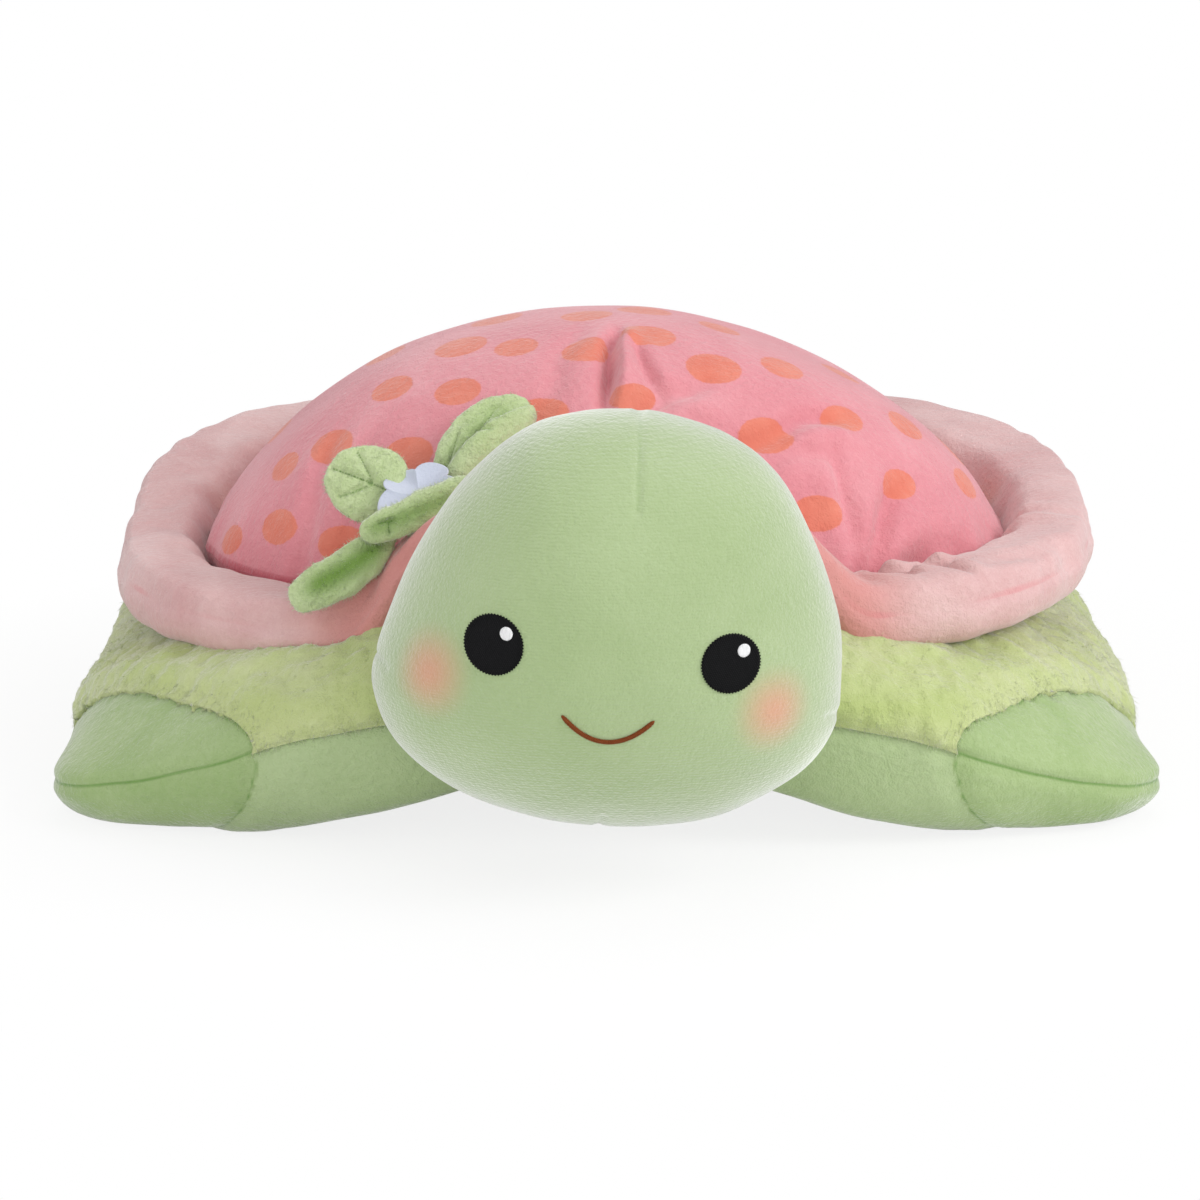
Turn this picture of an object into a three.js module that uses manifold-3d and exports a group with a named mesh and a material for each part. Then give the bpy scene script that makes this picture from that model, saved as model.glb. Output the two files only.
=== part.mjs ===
// A folding turtle pillow: a stuffed cushion body with four feet, a padded shell
// with an upturned brim, a stuffed head on a soft neck, a tail, a sprig of leaves
// with a felt flower, and a belly strap that holds the two halves folded.
// Millimetres, +Z up. The turtle faces -Y, and its own left is +X.
import * as THREE from 'three';
import { mergeVertices } from 'three/addons/utils/BufferGeometryUtils.js';
import Module from 'manifold-3d';

const wasm = await Module();
wasm.setup();

// ---- body ----
const cornerHalfWidth = 198; // over the tips of the feet
const bodyHalfLength = 171;
const bodyTopHeight = 42; // crown above the seam, at the middle
const bodyBottomHeight = 52;
const seamHeight = 57; // height of the edge seam at the fold
const foldAngle = THREE.MathUtils.degToRad(12); // how far each half hangs when folded
const hingeX = 35; // the folds run front to back on both sides of the spine
const foldRadius = 30;
const archHalfWidth = 105; // hollow under the folded belly
const archHeight = 36;
const coverThickness = 4; // fabric with its pile
const gap = 0.3; // between pieces that touch
const footFrontX = 123; // where a foot's cross seam meets the front edge
const footSideY = 88; // and the side edge
const cornerSlack = 45; // inward of that seam the body starts to thin towards its corner
const cornerReach = 26; // outward of it the corner's tip is reached
const cornerThinShare = 0.4; // how much of its thickness the body has lost at the tip
const cornerDrop = 8; // the edge seam sinks at the tip

// ---- shell ----
const shellHalfWidth = 154;
const shellHalfLength = 112;
const shellCentreY = -5;
const shellBaseHeight = 74;
const shellRise = 93;
const shellRootHeight = 50; // its wall runs down into the body's top to here
const brimHalfWidth = 188;
const brimHalfLength = 151;
const brimThickness = 20;
const brimFrontHeight = 77;
const brimRearLift = 15;
const brimNeckLift = 42; // the head pushes the brim up into a steep fold behind it
const brimNeckWidth = 80;
const brimCoverThickness = 3;

// ---- head and neck ----
const headWidth = 160;
const headHeight = 139;
const headDepth = 106;
const headX = 2;
const headY = -206;
const headZ = 96;
const headRoll = THREE.MathUtils.degToRad(4);
const headCoverThickness = 3.5;
const headRoom = 8; // free space behind the head, in which it turns
const cheekRoom = 21; // and at its sides
const neckRadius = 28;
const neckHeight = 80;
const neckCoverThickness = 3;
const neckOpeningRadius = 20;
const eyeWidth = 19;
const eyeHeight = 21;
const eyeX = 38.5;
const eyeZ = 1.5;
const glintRadius = 2;
const glintX = 3.6;
const glintZ = 4.4;
const stitchThickness = 1;
const smileWidth = 31;
const smileSag = 8.5;
const smileDrop = 27;
const smileLine = 1.6;

// ---- tail ----
const tailLength = 27;
const tailRadius = 13;
const tailCoverThickness = 3;

// ---- sprig of leaves ----
const sprigX = -64;
const sprigY = -124;
const sprigBaseRadius = 13;
const sprigBaseThickness = 7;
const leafThickness = 5;
const leafLength = 54;
const leafHalfWidth = 15;
const leafDroop = 6;
const leafCup = 3;
const petalRadius = 5.5;
const petalReach = 6;
const petalThickness = 1.2;
const petalCount = 5;
const flowerCentreRadius = 4;
const flowerCentreHeight = 3;
// Each leaf: name, shares of the leaf length, half width and droop, share of the button's
// thickness that its root lies below the top, then direction in plan, climb and turn, in degrees
const leafShares = [
  ['leaf_rear', 0.96, 1, 0.67, 0.43, 42, 40, 0],
  ['leaf_side', 0.58, 0.9, 0.67, 0.29, 162, 24, -62],
  ['leaf_front', 0.5, 0.67, 0.5, 0.14, 240, -26, -20],
  ['leaf_long', 0.9, 0.53, 0.67, 0.86, 198, -37, -12],
];

// ---- belly strap ----
const strapWidth = 50;
const strapThickness = 2;
const strapReach = 80; // from the middle to either end
const strapBend = 56; // where it leaves the belly and runs straight
const patchThickness = 1.2;
const patchInset = 2;
const bellySag = 2; // the strap's ends lie this far below the arch's curve

const overrun = 60; // how far a cutting shape runs past what it cuts

// Points of a quarter of the body's edge, from the middle of the front to the side
const bodyEdgeShares = [
  [0, 1], [0.36, 0.99], [0.62, 0.965], [0.8, 0.9], [0.94, 0.82], [1, 0.71], [0.998, 0.55], [0.99, 0.28], [0.985, 0],
];
// Half the head's outline, from crown to chin: share of half the width, then of half the height
const headEdgeShares = [
  [0, 1], [0.34, 0.92], [0.56, 0.74], [0.75, 0.44], [0.9, 0.06], [0.985, -0.22], [0.99, -0.42], [0.88, -0.66],
  [0.6, -0.88], [0.3, -0.98], [0, -1],
];
// Half a leaf, from root to tip: share of its length, then of its half width
const leafEdgeShares = [[0, 0], [0.05, 0.4], [0.25, 0.82], [0.52, 1], [0.78, 0.86], [0.94, 0.5], [1, 0]];

// Rows of a puffed form, from its pole towards its edge, for outer and for inner faces
const bodyRowShares = [0, 0.2, 0.38, 0.56, 0.74, 0.87, 0.96];
const shellRowShares = [0, 0.34, 0.58, 0.76, 0.89, 0.97];
const brimRowShares = [0, 0.72, 0.86, 0.955];
const headRowShares = [0, 0.34, 0.6, 0.8, 0.94];
const innerRowShares = [0, 0.5, 0.8, 0.95];
const leafRowShares = [0, 0.5, 0.82];
const tailShares = [0, 0.25, 0.5, 0.7, 0.86, 0.95, 1];
const brimRoundShare = 0.78; // inside this the brim has its full thickness

const bodyRing = 40;
const shellRing = 40;
const headRing = 32;
const innerRing = 28;
const leafRing = 20;
const strapSteps = 12;
const ballSides = 20;

const fabric = (color, roughness) => new THREE.MeshStandardMaterial({ color, roughness, metalness: 0 });
const fur = fabric(0xbfd08c, 0.95);
const belly = fabric(0xaac38f, 0.9);
const footFabric = fabric(0x9cc184, 0.9);
const shellFabric = fabric(0xe58f9b, 0.9);
const brimFabric = fabric(0xe9bdb9, 0.9);
const headFabric = fabric(0xb7cf9d, 0.88);
const leafFabric = fabric(0xafc98d, 0.9);
const felt = fabric(0xc9cde0, 0.95);
const blackThread = fabric(0x151515, 0.6);
const whiteThread = fabric(0xf4f4f4, 0.6);
const brownThread = fabric(0x7a3a12, 0.6);
const webbing = fabric(0x9cc184, 0.8);
const fastener = fabric(0xdfe6cf, 0.95);
const stuffing = fabric(0xf5f5f2, 1);

// ---- solids ----
function solid(points, faces) {
  const vertProperties = new Float32Array(points.flatMap((p) => [p.x, p.y, p.z]));
  return new wasm.Manifold(new wasm.Mesh({ numProp: 3, vertProperties, triVerts: new Uint32Array(faces) }));
}

function solidOf(geometry) {
  geometry.deleteAttribute('normal');
  geometry.deleteAttribute('uv');
  const merged = mergeVertices(geometry);
  const corners = merged.index.array;
  const faces = [];
  for (let i = 0; i < corners.length; i += 3) {
    const [a, b, c] = corners.slice(i, i + 3);
    if (a !== b && b !== c && c !== a) faces.push(a, b, c);
  }
  const at = merged.attributes.position;
  return solid(Array.from({ length: at.count }, (_, i) => new THREE.Vector3().fromBufferAttribute(at, i)), faces);
}

// A puffed form: rings of one outline climb from the lower pole over the edge to the
// upper pole. A row is [share of the outline, level], and place() puts a point in space.
function puff(outline, rows, place) {
  const count = outline.length;
  const points = [];
  for (const [share, level] of rows) {
    if (share === 0) points.push(place(0, 0, level));
    else for (const p of outline) points.push(place(p.x * share, p.y * share, level));
  }
  const ring = (row) => 1 + (row - 1) * count;
  const lastRing = ring(rows.length - 2);
  const faces = [];
  for (let i = 0; i < count; i++) {
    const j = (i + 1) % count;
    faces.push(0, 1 + j, 1 + i, lastRing + i, lastRing + j, points.length - 1);
    for (let row = 1; row < rows.length - 2; row++) {
      const a = ring(row);
      const b = ring(row + 1);
      // the diagonals mirror at the edge, so that two halves of a form meet evenly
      if (rows[row][0] < rows[row + 1][0]) faces.push(a + i, a + j, b + j, a + i, b + j, b + i);
      else faces.push(a + i, a + j, b + i, a + j, b + j, b + i);
    }
  }
  return solid(points, faces);
}

const rowsOf = (shares, lower, upper) => [
  ...shares.map((share) => [share, -lower(share)]),
  [1, 0],
  ...shares.toReversed().map((share) => [share, upper(share)]),
];
const crown = (share) => Math.sqrt(1 - share ** 2.2);
const bodyCrown = (share) => Math.sqrt(1 - share ** 2.8);
const bellyCrown = (share) => Math.sqrt(1 - share ** 6); // the belly spreads on the floor
const flat = () => 0;
const partRows = (shares, part, upper, lower = upper) =>
  rowsOf(shares, part === 'upper' ? flat : lower, part === 'lower' ? flat : upper);
const partLift = { whole: 0, upper: gap / 2, lower: -gap / 2 };

function smoothLoop(points, count) {
  const curve = new THREE.CatmullRomCurve3(points.map(([x, y]) => new THREE.Vector3(x, y, 0)), true);
  return curve.getSpacedPoints(count).slice(0, count);
}

function inward(outline, inset) {
  return outline.map((p) => p.clone().setLength(p.length() - inset));
}

function superellipse(halfX, halfY, power, count) {
  return Array.from({ length: count }, (_, i) => {
    const angle = (i / count) * 2 * Math.PI;
    const round = (c) => Math.sign(c) * Math.abs(c) ** (2 / power);
    return new THREE.Vector3(halfX * round(Math.cos(angle)), halfY * round(Math.sin(angle)), 0);
  });
}

function ball(radius) {
  return solidOf(new THREE.SphereGeometry(radius, ballSides, ballSides / 2).translate(0, neckY, neckHeight));
}

// A prism that stands on a plan outline and passes through everything above the floor
function standing(points) {
  const depth = 2 * overrun + shellBaseHeight + shellRise;
  const shape = new THREE.Shape(points.map(([x, y]) => new THREE.Vector2(x, y)));
  return solidOf(new THREE.ExtrudeGeometry(shape, { depth, bevelEnabled: false }).translate(0, 0, -overrun));
}

function slab(fromX, toX) {
  const y = bodyHalfLength + overrun;
  return standing([[fromX, -y], [toX, -y], [toX, y], [fromX, y]]);
}

// ---- body forms ----
const quarter = bodyEdgeShares.map(([x, y]) => [x * cornerHalfWidth, y * bodyHalfLength]);
const bodyLoop = [
  ...quarter.map(([x, y]) => [x, -y]),
  ...quarter.slice(0, -1).toReversed(),
  ...quarter.slice(1).map(([x, y]) => [-x, y]),
  ...quarter.slice(1, -1).toReversed().map(([x, y]) => [-x, -y]),
];

// How far a point of the plan lies outside the cross seam of the nearest foot
function beyondCrossSeam(x, y) {
  const [aside, ahead] = [cornerHalfWidth - footFrontX, footSideY - bodyHalfLength];
  const out = (footFrontX - Math.abs(x)) * ahead + (Math.abs(y) - bodyHalfLength) * aside;
  return out / Math.hypot(aside, ahead);
}
const plumpness = (x, y) =>
  1 - cornerThinShare * THREE.MathUtils.smoothstep(beyondCrossSeam(x, y), -cornerSlack, cornerReach);

const bend = (distance) => (distance + Math.hypot(distance, foldRadius)) / 2;
function seamAt(x, y) {
  const hang = Math.tan(foldAngle) * (bend(Math.abs(x) - hingeX) - bend(-hingeX));
  return seamHeight - hang - cornerDrop * THREE.MathUtils.smoothstep(beyondCrossSeam(x, y), -cornerReach / 2, cornerReach);
}
const archAt = (x) => Math.max(0, archHeight * (1 - (x / archHalfWidth) ** 2));

function bodyForm(inset, part = 'whole') {
  const rows = partRows(bodyRowShares, part, bodyCrown, bellyCrown);
  return puff(inward(smoothLoop(bodyLoop, bodyRing), inset), rows, (x, y, level) => {
    const seam = seamAt(x, y) + partLift[part];
    const z = level < 0
      ? Math.max(archAt(x) + inset, seam + level * (bodyBottomHeight * plumpness(x, y) - inset))
      : seam + level * (bodyTopHeight * plumpness(x, y) - inset);
    return new THREE.Vector3(x, y, z);
  });
}

// ---- shell and brim forms ----
const domeRise = (share) => (1 - share ** 2.05) ** 0.72;

function domeForm(inset, ring = shellRing, shares = shellRowShares) {
  const outline = superellipse(shellHalfWidth - inset, shellHalfLength - inset, 2.4, ring);
  const rise = shares.toReversed().map((share) => [share, domeRise(share)]);
  const rows = [[0, -1], [1, -1], [1, 0], ...rise];
  return puff(outline, rows, (x, y, level) => {
    const reach = level < 0 ? shellBaseHeight - shellRootHeight + inset : shellRise - inset;
    return new THREE.Vector3(x, y + shellCentreY, shellBaseHeight + level * reach);
  });
}

function brimMiddle(x, y) {
  const back = (y / brimHalfLength + 1) / 2;
  const front = Math.max(0, -y / brimHalfLength);
  const neck = Math.exp(-((x / brimNeckWidth) ** 8));
  return brimFrontHeight + brimRearLift * back ** 2 + brimNeckLift * neck * front ** 2;
}

const brimRound = (share) => Math.sqrt(1 - Math.max(0, (share - brimRoundShare) / (1 - brimRoundShare)) ** 2);

function brimForm(inset, part = 'whole', ring = shellRing, shares = brimRowShares) {
  const outline = superellipse(brimHalfWidth - inset, brimHalfLength - inset, 2.7, ring);
  return puff(outline, partRows(shares, part, brimRound), (x, y, level) =>
    new THREE.Vector3(x, y, brimMiddle(x, y) + partLift[part] + level * (brimThickness / 2 - inset)));
}

// ---- head forms ----
const neckY = headY + (headDepth + headRoom) / 2;
const headHalf = headEdgeShares.map(([x, z]) => [(x * headWidth) / 2, (z * headHeight) / 2]);
const headLoop = [...headHalf.toReversed(), ...headHalf.slice(1, -1).map(([x, z]) => [-x, z])];

function onHead(x, z, y) {
  const turned = new THREE.Vector2(x, z).rotateAround(new THREE.Vector2(), -headRoll);
  return new THREE.Vector3(headX + turned.x, headY + y, headZ + turned.y);
}

// The upper part of this form is the face, and the lower part is the back of the head
function headForm(inset, part = 'whole', ring = headRing, shares = headRowShares) {
  const outline = inward(smoothLoop(headLoop, ring), inset);
  return puff(outline, partRows(shares, part, crown), (x, z, level) =>
    onHead(x, z, -partLift[part] - level * (headDepth / 2 - inset)));
}

// A layer of thread on the face, inside an outline drawn on it
function stitched(shape, depthBelow) {
  const cut = new THREE.ExtrudeGeometry(shape, { depth: headDepth, bevelEnabled: false, curveSegments: 8 });
  cut.rotateX(Math.PI / 2).rotateY(headRoll).translate(headX, headY, headZ);
  return solidOf(cut).intersect(headForm(-depthBelow - stitchThickness)).subtract(headForm(-depthBelow));
}

// ---- pieces ----
const group = new THREE.Group();

function add(name, form, material, parent = group) {
  const { numProp, vertProperties, triVerts } = form.getMesh();
  const geometry = new THREE.BufferGeometry();
  geometry.setAttribute('position', new THREE.BufferAttribute(new Float32Array(vertProperties), numProp));
  geometry.setIndex(new THREE.BufferAttribute(new Uint32Array(triVerts), 1));
  geometry.computeVertexNormals();
  const mesh = new THREE.Mesh(geometry, material);
  mesh.name = name;
  parent.add(mesh);
  return mesh;
}

const bodyOuter = bodyForm(-gap);
const bodyInner = bodyForm(coverThickness);
const bodyFill = bodyForm(coverThickness + gap);
const bodyUpper = bodyForm(0, 'upper');
const bodyLower = bodyForm(0, 'lower');

// The head presses a hollow into the front of the body, and the neck sits in a socket
const headHollow = standing(
  superellipse(headWidth / 2 + cheekRoom, headDepth / 2 + headRoom, 2, headRing).map((p) => [p.x + headX, p.y + headY]),
);
const neckSocket = ball(neckRadius + 2 * gap);

// The corner outside a foot's cross seam, moved out by a clearance
function footCorner(sideX, sideY, clearance) {
  const front = new THREE.Vector2(footFrontX, bodyHalfLength);
  const side = new THREE.Vector2(cornerHalfWidth, footSideY);
  const along = side.clone().sub(front).normalize();
  const out = new THREE.Vector2(-along.y, along.x).multiplyScalar(clearance);
  const a = front.addScaledVector(along, -overrun).sub(out);
  const b = side.addScaledVector(along, overrun).sub(out);
  return standing([a, b, new THREE.Vector2(b.x, a.y)].map((p) => [p.x * sideX, p.y * sideY]));
}

const sides = [
  ['left', 1, slab(hingeX + gap / 2, cornerHalfWidth + overrun)],
  ['right', -1, slab(-cornerHalfWidth - overrun, -hingeX - gap / 2)],
];
const ends = [['front', -1], ['rear', 1]];

const spine = slab(-hingeX + gap / 2, hingeX - gap / 2);
const inSpine = (form) => form.intersect(spine).subtract(headHollow).subtract(neckSocket);
add('spine_top_cover', inSpine(bodyUpper).subtract(bodyInner), fur);
add('spine_bottom_cover', inSpine(bodyLower).subtract(bodyInner), belly);
add('spine_fill', inSpine(bodyFill), stuffing);

for (const [side, sign, region] of sides) {
  const inHalf = (form) => form.intersect(region).subtract(headHollow);
  let top = inHalf(bodyUpper).subtract(bodyInner);
  let bottom = inHalf(bodyLower).subtract(bodyInner);
  for (const [end, direction] of ends) {
    const corner = footCorner(sign, direction, 0);
    add(`${side}_${end}_foot_upper`, bodyUpper.intersect(corner).subtract(bodyInner), footFabric);
    add(`${side}_${end}_foot_lower`, bodyLower.intersect(corner).subtract(bodyInner), footFabric);
    const around = footCorner(sign, direction, gap);
    top = top.subtract(around);
    bottom = bottom.subtract(around);
  }
  add(`${side}_top_cover`, top, fur);
  add(`${side}_bottom_cover`, bottom, belly);
  add(`${side}_fill`, inHalf(bodyFill), stuffing);
}

const dome = domeForm(0);
const domeOuter = domeForm(-gap);
const domeInner = domeForm(coverThickness, innerRing, innerRowShares);
add('shell_cover', dome.subtract(domeInner).subtract(bodyOuter), shellFabric);
const shellStuffing = domeForm(coverThickness + gap, innerRing, innerRowShares);
add('shell_fill', shellStuffing.subtract(bodyOuter), stuffing);

const aroundShell = (form) =>
  form.subtract(domeOuter).subtract(bodyOuter).subtract(headHollow).subtract(neckSocket);
const brimInner = brimForm(brimCoverThickness, 'whole', innerRing, innerRowShares);
add('brim_top_cover', aroundShell(brimForm(0, 'upper').subtract(brimInner)), brimFabric);
add('brim_under_cover', aroundShell(brimForm(0, 'lower').subtract(brimInner)), brimFabric);
const brimStuffing = brimForm(brimCoverThickness + gap, 'whole', innerRing, innerRowShares);
add('brim_fill', aroundShell(brimStuffing), stuffing);

// The neck is a short stuffed tube with round walls, open to the body and to the head
const neckOpening = solidOf(
  new THREE.CylinderGeometry(neckOpeningRadius, neckOpeningRadius, 2 * overrun, ballSides)
    .translate(0, neckY, neckHeight),
);
const neckWall = ball(neckRadius).subtract(ball(neckRadius - neckCoverThickness));
add('neck_cover', neckWall.subtract(neckOpening), headFabric);
add('neck_fill', ball(neckRadius - neckCoverThickness - gap), stuffing);

const headInner = headForm(headCoverThickness, 'whole', innerRing, innerRowShares);
add('head_front_cover', headForm(0, 'upper').subtract(headInner), headFabric);
add('head_back_cover', headForm(0, 'lower').subtract(headInner).subtract(neckSocket), headFabric);
const headStuffing = headForm(headCoverThickness + gap, 'whole', innerRing, innerRowShares);
add('head_fill', headStuffing.subtract(neckSocket), stuffing);

for (const [side, sign] of sides) {
  const eye = new THREE.Shape().absellipse(sign * eyeX, eyeZ, eyeWidth / 2, eyeHeight / 2, 0, 2 * Math.PI);
  add(`${side}_eye`, stitched(eye, gap), blackThread);
  const glint = new THREE.Shape()
    .absarc(sign * eyeX + glintX, eyeZ + glintZ, glintRadius, 0, 2 * Math.PI);
  add(`${side}_glint`, stitched(glint, stitchThickness + 2 * gap), whiteThread);
}
const smile = new THREE.Shape();
smile.moveTo(-smileWidth / 2, smileSag - smileDrop);
smile.quadraticCurveTo(0, -smileSag - smileDrop - smileLine, smileWidth / 2, smileSag - smileDrop);
smile.lineTo(smileWidth / 2 - smileLine, smileSag - smileDrop + smileLine / 2);
smile.quadraticCurveTo(0, -smileSag - smileDrop + smileLine, smileLine - smileWidth / 2, smileSag - smileDrop + smileLine / 2);
add('smile', stitched(smile, gap), brownThread);

// ---- tail: a hollow stuffed cone, sewn to the rear seam by its open end ----
function tailForm(inset, start) {
  const wall = tailShares.map((share) => new THREE.Vector2(
    (tailRadius - inset) * Math.sqrt(1 - share ** 1.7),
    share * (tailLength - inset),
  ));
  const profile = [new THREE.Vector2(0, -start), new THREE.Vector2(tailRadius - inset, -start), ...wall];
  const form = new THREE.LatheGeometry(profile, ballSides).translate(0, bodyHalfLength + gap, seamHeight);
  return solidOf(form).subtract(tailFront);
}
const tailEnd = bodyHalfLength + gap;
const tailFront = standing([[-overrun, 0], [overrun, 0], [overrun, tailEnd], [-overrun, tailEnd]]);
add('tail_cover', tailForm(0, overrun).subtract(tailForm(tailCoverThickness, overrun)), fur);
add('tail_fill', tailForm(tailCoverThickness + gap, overrun), stuffing);

// ---- sprig: a soft button on the brim, four leaves sewn round it and a felt flower ----
const sprigTop = brimMiddle(sprigX, sprigY) + brimThickness / 2 + sprigBaseThickness;
const button = (radius, from, to, aside = 0, ahead = 0) => solidOf(
  new THREE.CylinderGeometry(radius, radius, to - from, leafRing).rotateX(Math.PI / 2)
    .translate(sprigX + aside, sprigY + ahead, (from + to) / 2),
);
const underSprig = brimForm(-gap);
add('sprig_base', button(sprigBaseRadius, sprigTop - 2 * sprigBaseThickness, sprigTop).subtract(underSprig), leafFabric);

const petalBottom = sprigTop + gap;
const petals = Array.from({ length: petalCount }, (_, i) => {
  const angle = (i / petalCount) * 2 * Math.PI;
  const [aside, ahead] = [petalReach * Math.cos(angle), petalReach * Math.sin(angle)];
  return button(petalRadius, petalBottom, petalBottom + petalThickness, aside, ahead);
});
add('flower_petals', petals.reduce((flower, petal) => flower.add(petal)), felt);
const flowerTop = petalBottom + petalThickness + gap;
add('flower_centre', button(flowerCentreRadius, flowerTop, flowerTop + flowerCentreHeight), felt);

// Each leaf runs along its own +X from its sewn root and is cupped along its middle
function leafForm(length, halfWidth, droop) {
  const half = leafEdgeShares.map(([x, y]) => [(x - 0.5) * length, y * halfWidth]);
  const loop = [...half.map(([x, y]) => [x, -y]), ...half.slice(1, -1).toReversed()];
  const outline = smoothLoop(loop, leafRing);
  return puff(outline, partRows(leafRowShares, 'whole', crown), (x, y, level) => {
    const along = x / length + 0.5;
    const z = (level * leafThickness) / 2 + leafCup * (y / halfWidth) ** 2 - droop * along ** 2;
    return new THREE.Vector3(along * length, y, z);
  });
}
for (const [name, lengthShare, widthShare, droopShare, dropShare, azimuth, climb, roll] of leafShares) {
  const root = new THREE.Group();
  const turn = THREE.MathUtils.degToRad(azimuth);
  const reach = sprigBaseRadius + gap;
  root.position.set(sprigX + reach * Math.cos(turn), sprigY + reach * Math.sin(turn), sprigTop - dropShare * sprigBaseThickness);
  root.rotation.set(THREE.MathUtils.degToRad(roll), THREE.MathUtils.degToRad(-climb), turn, 'ZYX');
  group.add(root);
  const form = leafForm(lengthShare * leafLength, widthShare * leafHalfWidth, droopShare * leafDroop);
  add(name, form, leafFabric, root);
}

// ---- belly strap ----
const stack = patchThickness + gap; // a fastener patch with its clearance
const bellyLine = (x, below) => archAt(x) - bellySag - below;
const straightEnd = bellyLine(strapBend, 2 * stack);
const straightStart = bellyLine(strapBend, 0);
const strapLine = (x) => {
  if (x <= -strapBend) return bellyLine(x, 0);
  if (x >= strapBend) return bellyLine(x, 2 * stack);
  return THREE.MathUtils.mapLinear(x, -strapBend, strapBend, straightStart, straightEnd);
};
// A band across the belly, from one height line up to another
function band(fromX, toX, lower, upper, width) {
  const steps = Array.from({ length: strapSteps + 1 }, (_, i) => fromX + ((toX - fromX) * i) / strapSteps);
  const points = [...steps.map((x) => [x, lower(x)]), ...steps.toReversed().map((x) => [x, upper(x)])];
  const shape = new THREE.Shape(points.map(([x, z]) => new THREE.Vector2(x, z)));
  const form = new THREE.ExtrudeGeometry(shape, { depth: width, bevelEnabled: false });
  return solidOf(form.rotateX(Math.PI / 2).translate(0, width / 2, 0));
}
const patchFrom = strapBend + patchInset;
const patchTo = strapReach - patchInset;
const patchWidth = strapWidth - 2 * patchInset;
const under = (line) => (x) => line(x) - strapThickness;
add('strap_root', band(-strapReach, -strapBend - gap, under(strapLine), archAt, strapWidth).subtract(bodyOuter), webbing);
add('strap_webbing', band(-strapBend, strapReach, under(strapLine), strapLine, strapWidth), webbing);
const loopBottom = (x) => bellyLine(x, patchThickness);
add('strap_loop_patch', band(patchFrom, patchTo, loopBottom, archAt, patchWidth).subtract(bodyOuter), fastener);
const hookTop = (x) => loopBottom(x) - gap;
const hookBottom = (x) => hookTop(x) - patchThickness;
add('strap_hook_patch', band(patchFrom, patchTo, hookBottom, hookTop, patchWidth), fastener);

// The origin is on the floor, under the middle of the model
const bounds = new THREE.Box3().setFromObject(group);
const middle = bounds.getCenter(new THREE.Vector3());
group.position.set(-middle.x, -middle.y, -bounds.min.z);

export default group;
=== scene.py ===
import math
from contextlib import contextmanager

import bmesh
import bpy
import numpy as np
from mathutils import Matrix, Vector, noise
from mathutils.bvhtree import BVHTree


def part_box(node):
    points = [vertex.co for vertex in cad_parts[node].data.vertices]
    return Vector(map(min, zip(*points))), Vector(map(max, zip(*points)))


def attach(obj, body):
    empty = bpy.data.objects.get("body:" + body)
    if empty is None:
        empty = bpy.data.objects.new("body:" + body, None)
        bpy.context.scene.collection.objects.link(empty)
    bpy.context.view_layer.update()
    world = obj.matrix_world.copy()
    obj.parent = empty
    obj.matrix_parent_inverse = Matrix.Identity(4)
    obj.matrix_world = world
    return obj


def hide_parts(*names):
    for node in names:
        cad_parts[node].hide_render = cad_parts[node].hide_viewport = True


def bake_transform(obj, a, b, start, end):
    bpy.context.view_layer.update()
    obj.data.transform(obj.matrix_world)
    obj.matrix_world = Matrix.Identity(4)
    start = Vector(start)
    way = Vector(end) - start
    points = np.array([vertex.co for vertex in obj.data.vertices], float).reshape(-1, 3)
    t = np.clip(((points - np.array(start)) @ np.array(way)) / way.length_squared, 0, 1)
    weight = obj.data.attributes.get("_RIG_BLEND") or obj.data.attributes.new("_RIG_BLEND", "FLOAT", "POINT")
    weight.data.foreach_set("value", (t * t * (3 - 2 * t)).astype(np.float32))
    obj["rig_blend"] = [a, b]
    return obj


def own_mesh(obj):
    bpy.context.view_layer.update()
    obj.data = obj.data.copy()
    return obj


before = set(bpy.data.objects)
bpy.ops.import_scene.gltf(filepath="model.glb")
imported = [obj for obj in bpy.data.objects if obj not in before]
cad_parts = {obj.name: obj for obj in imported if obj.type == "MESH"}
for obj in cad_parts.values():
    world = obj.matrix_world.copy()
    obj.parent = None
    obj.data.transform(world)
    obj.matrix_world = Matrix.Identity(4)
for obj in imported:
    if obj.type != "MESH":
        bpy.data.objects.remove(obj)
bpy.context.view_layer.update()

# ---- The view ----
# A level camera in front of the face, a little above the shell, looks down on the pillow
# from almost a metre and a half, as the photographer's did.
mm = 0.001
pillow_middle = 30.425 * mm  # the pillow's own middle lies behind the middle of the whole turtle
view_down = math.radians(14)
view_distance = 1436 * mm
view_aim_height = 50.9 * mm
view_aside = -2 * mm
sensor_width = 36
lens_to_picture = (3655, 1200)  # the focal length, and the width of the whole picture in the same measure
camera_lens = bpy.data.cameras.new("studio_view")
camera_lens.sensor_width = sensor_width
camera_lens.lens = sensor_width * lens_to_picture[0] / lens_to_picture[1]
camera = bpy.data.objects.new("studio_view", camera_lens)
camera.location = (
    view_aside,
    pillow_middle - view_distance * math.cos(view_down),
    view_aim_height + view_distance * math.sin(view_down),
)
camera.rotation_euler = (math.pi / 2 - view_down, 0, 0)
bpy.context.scene.collection.objects.link(camera)
bpy.context.scene.camera = camera
bpy.context.scene.view_settings.view_transform = "Standard"


# ---- Studio ----
# A white sweep of paper under wide soft lamps: one high on the right, weaker ones low on the
# left and in front, and a broad one overhead that fills the folds.
def node(material, kind, sockets=None, **settings):
    """Adds one shader node. A socket takes a plain value, or another node's output to link to."""
    made = material.node_tree.nodes.new("ShaderNode" + kind)
    for key, value in settings.items():
        setattr(made, key, value)
    for key, value in (sockets or {}).items():
        if isinstance(value, bpy.types.NodeSocket):
            material.node_tree.links.new(value, made.inputs[key])
        else:
            made.inputs[key].default_value = value
    return made


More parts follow.
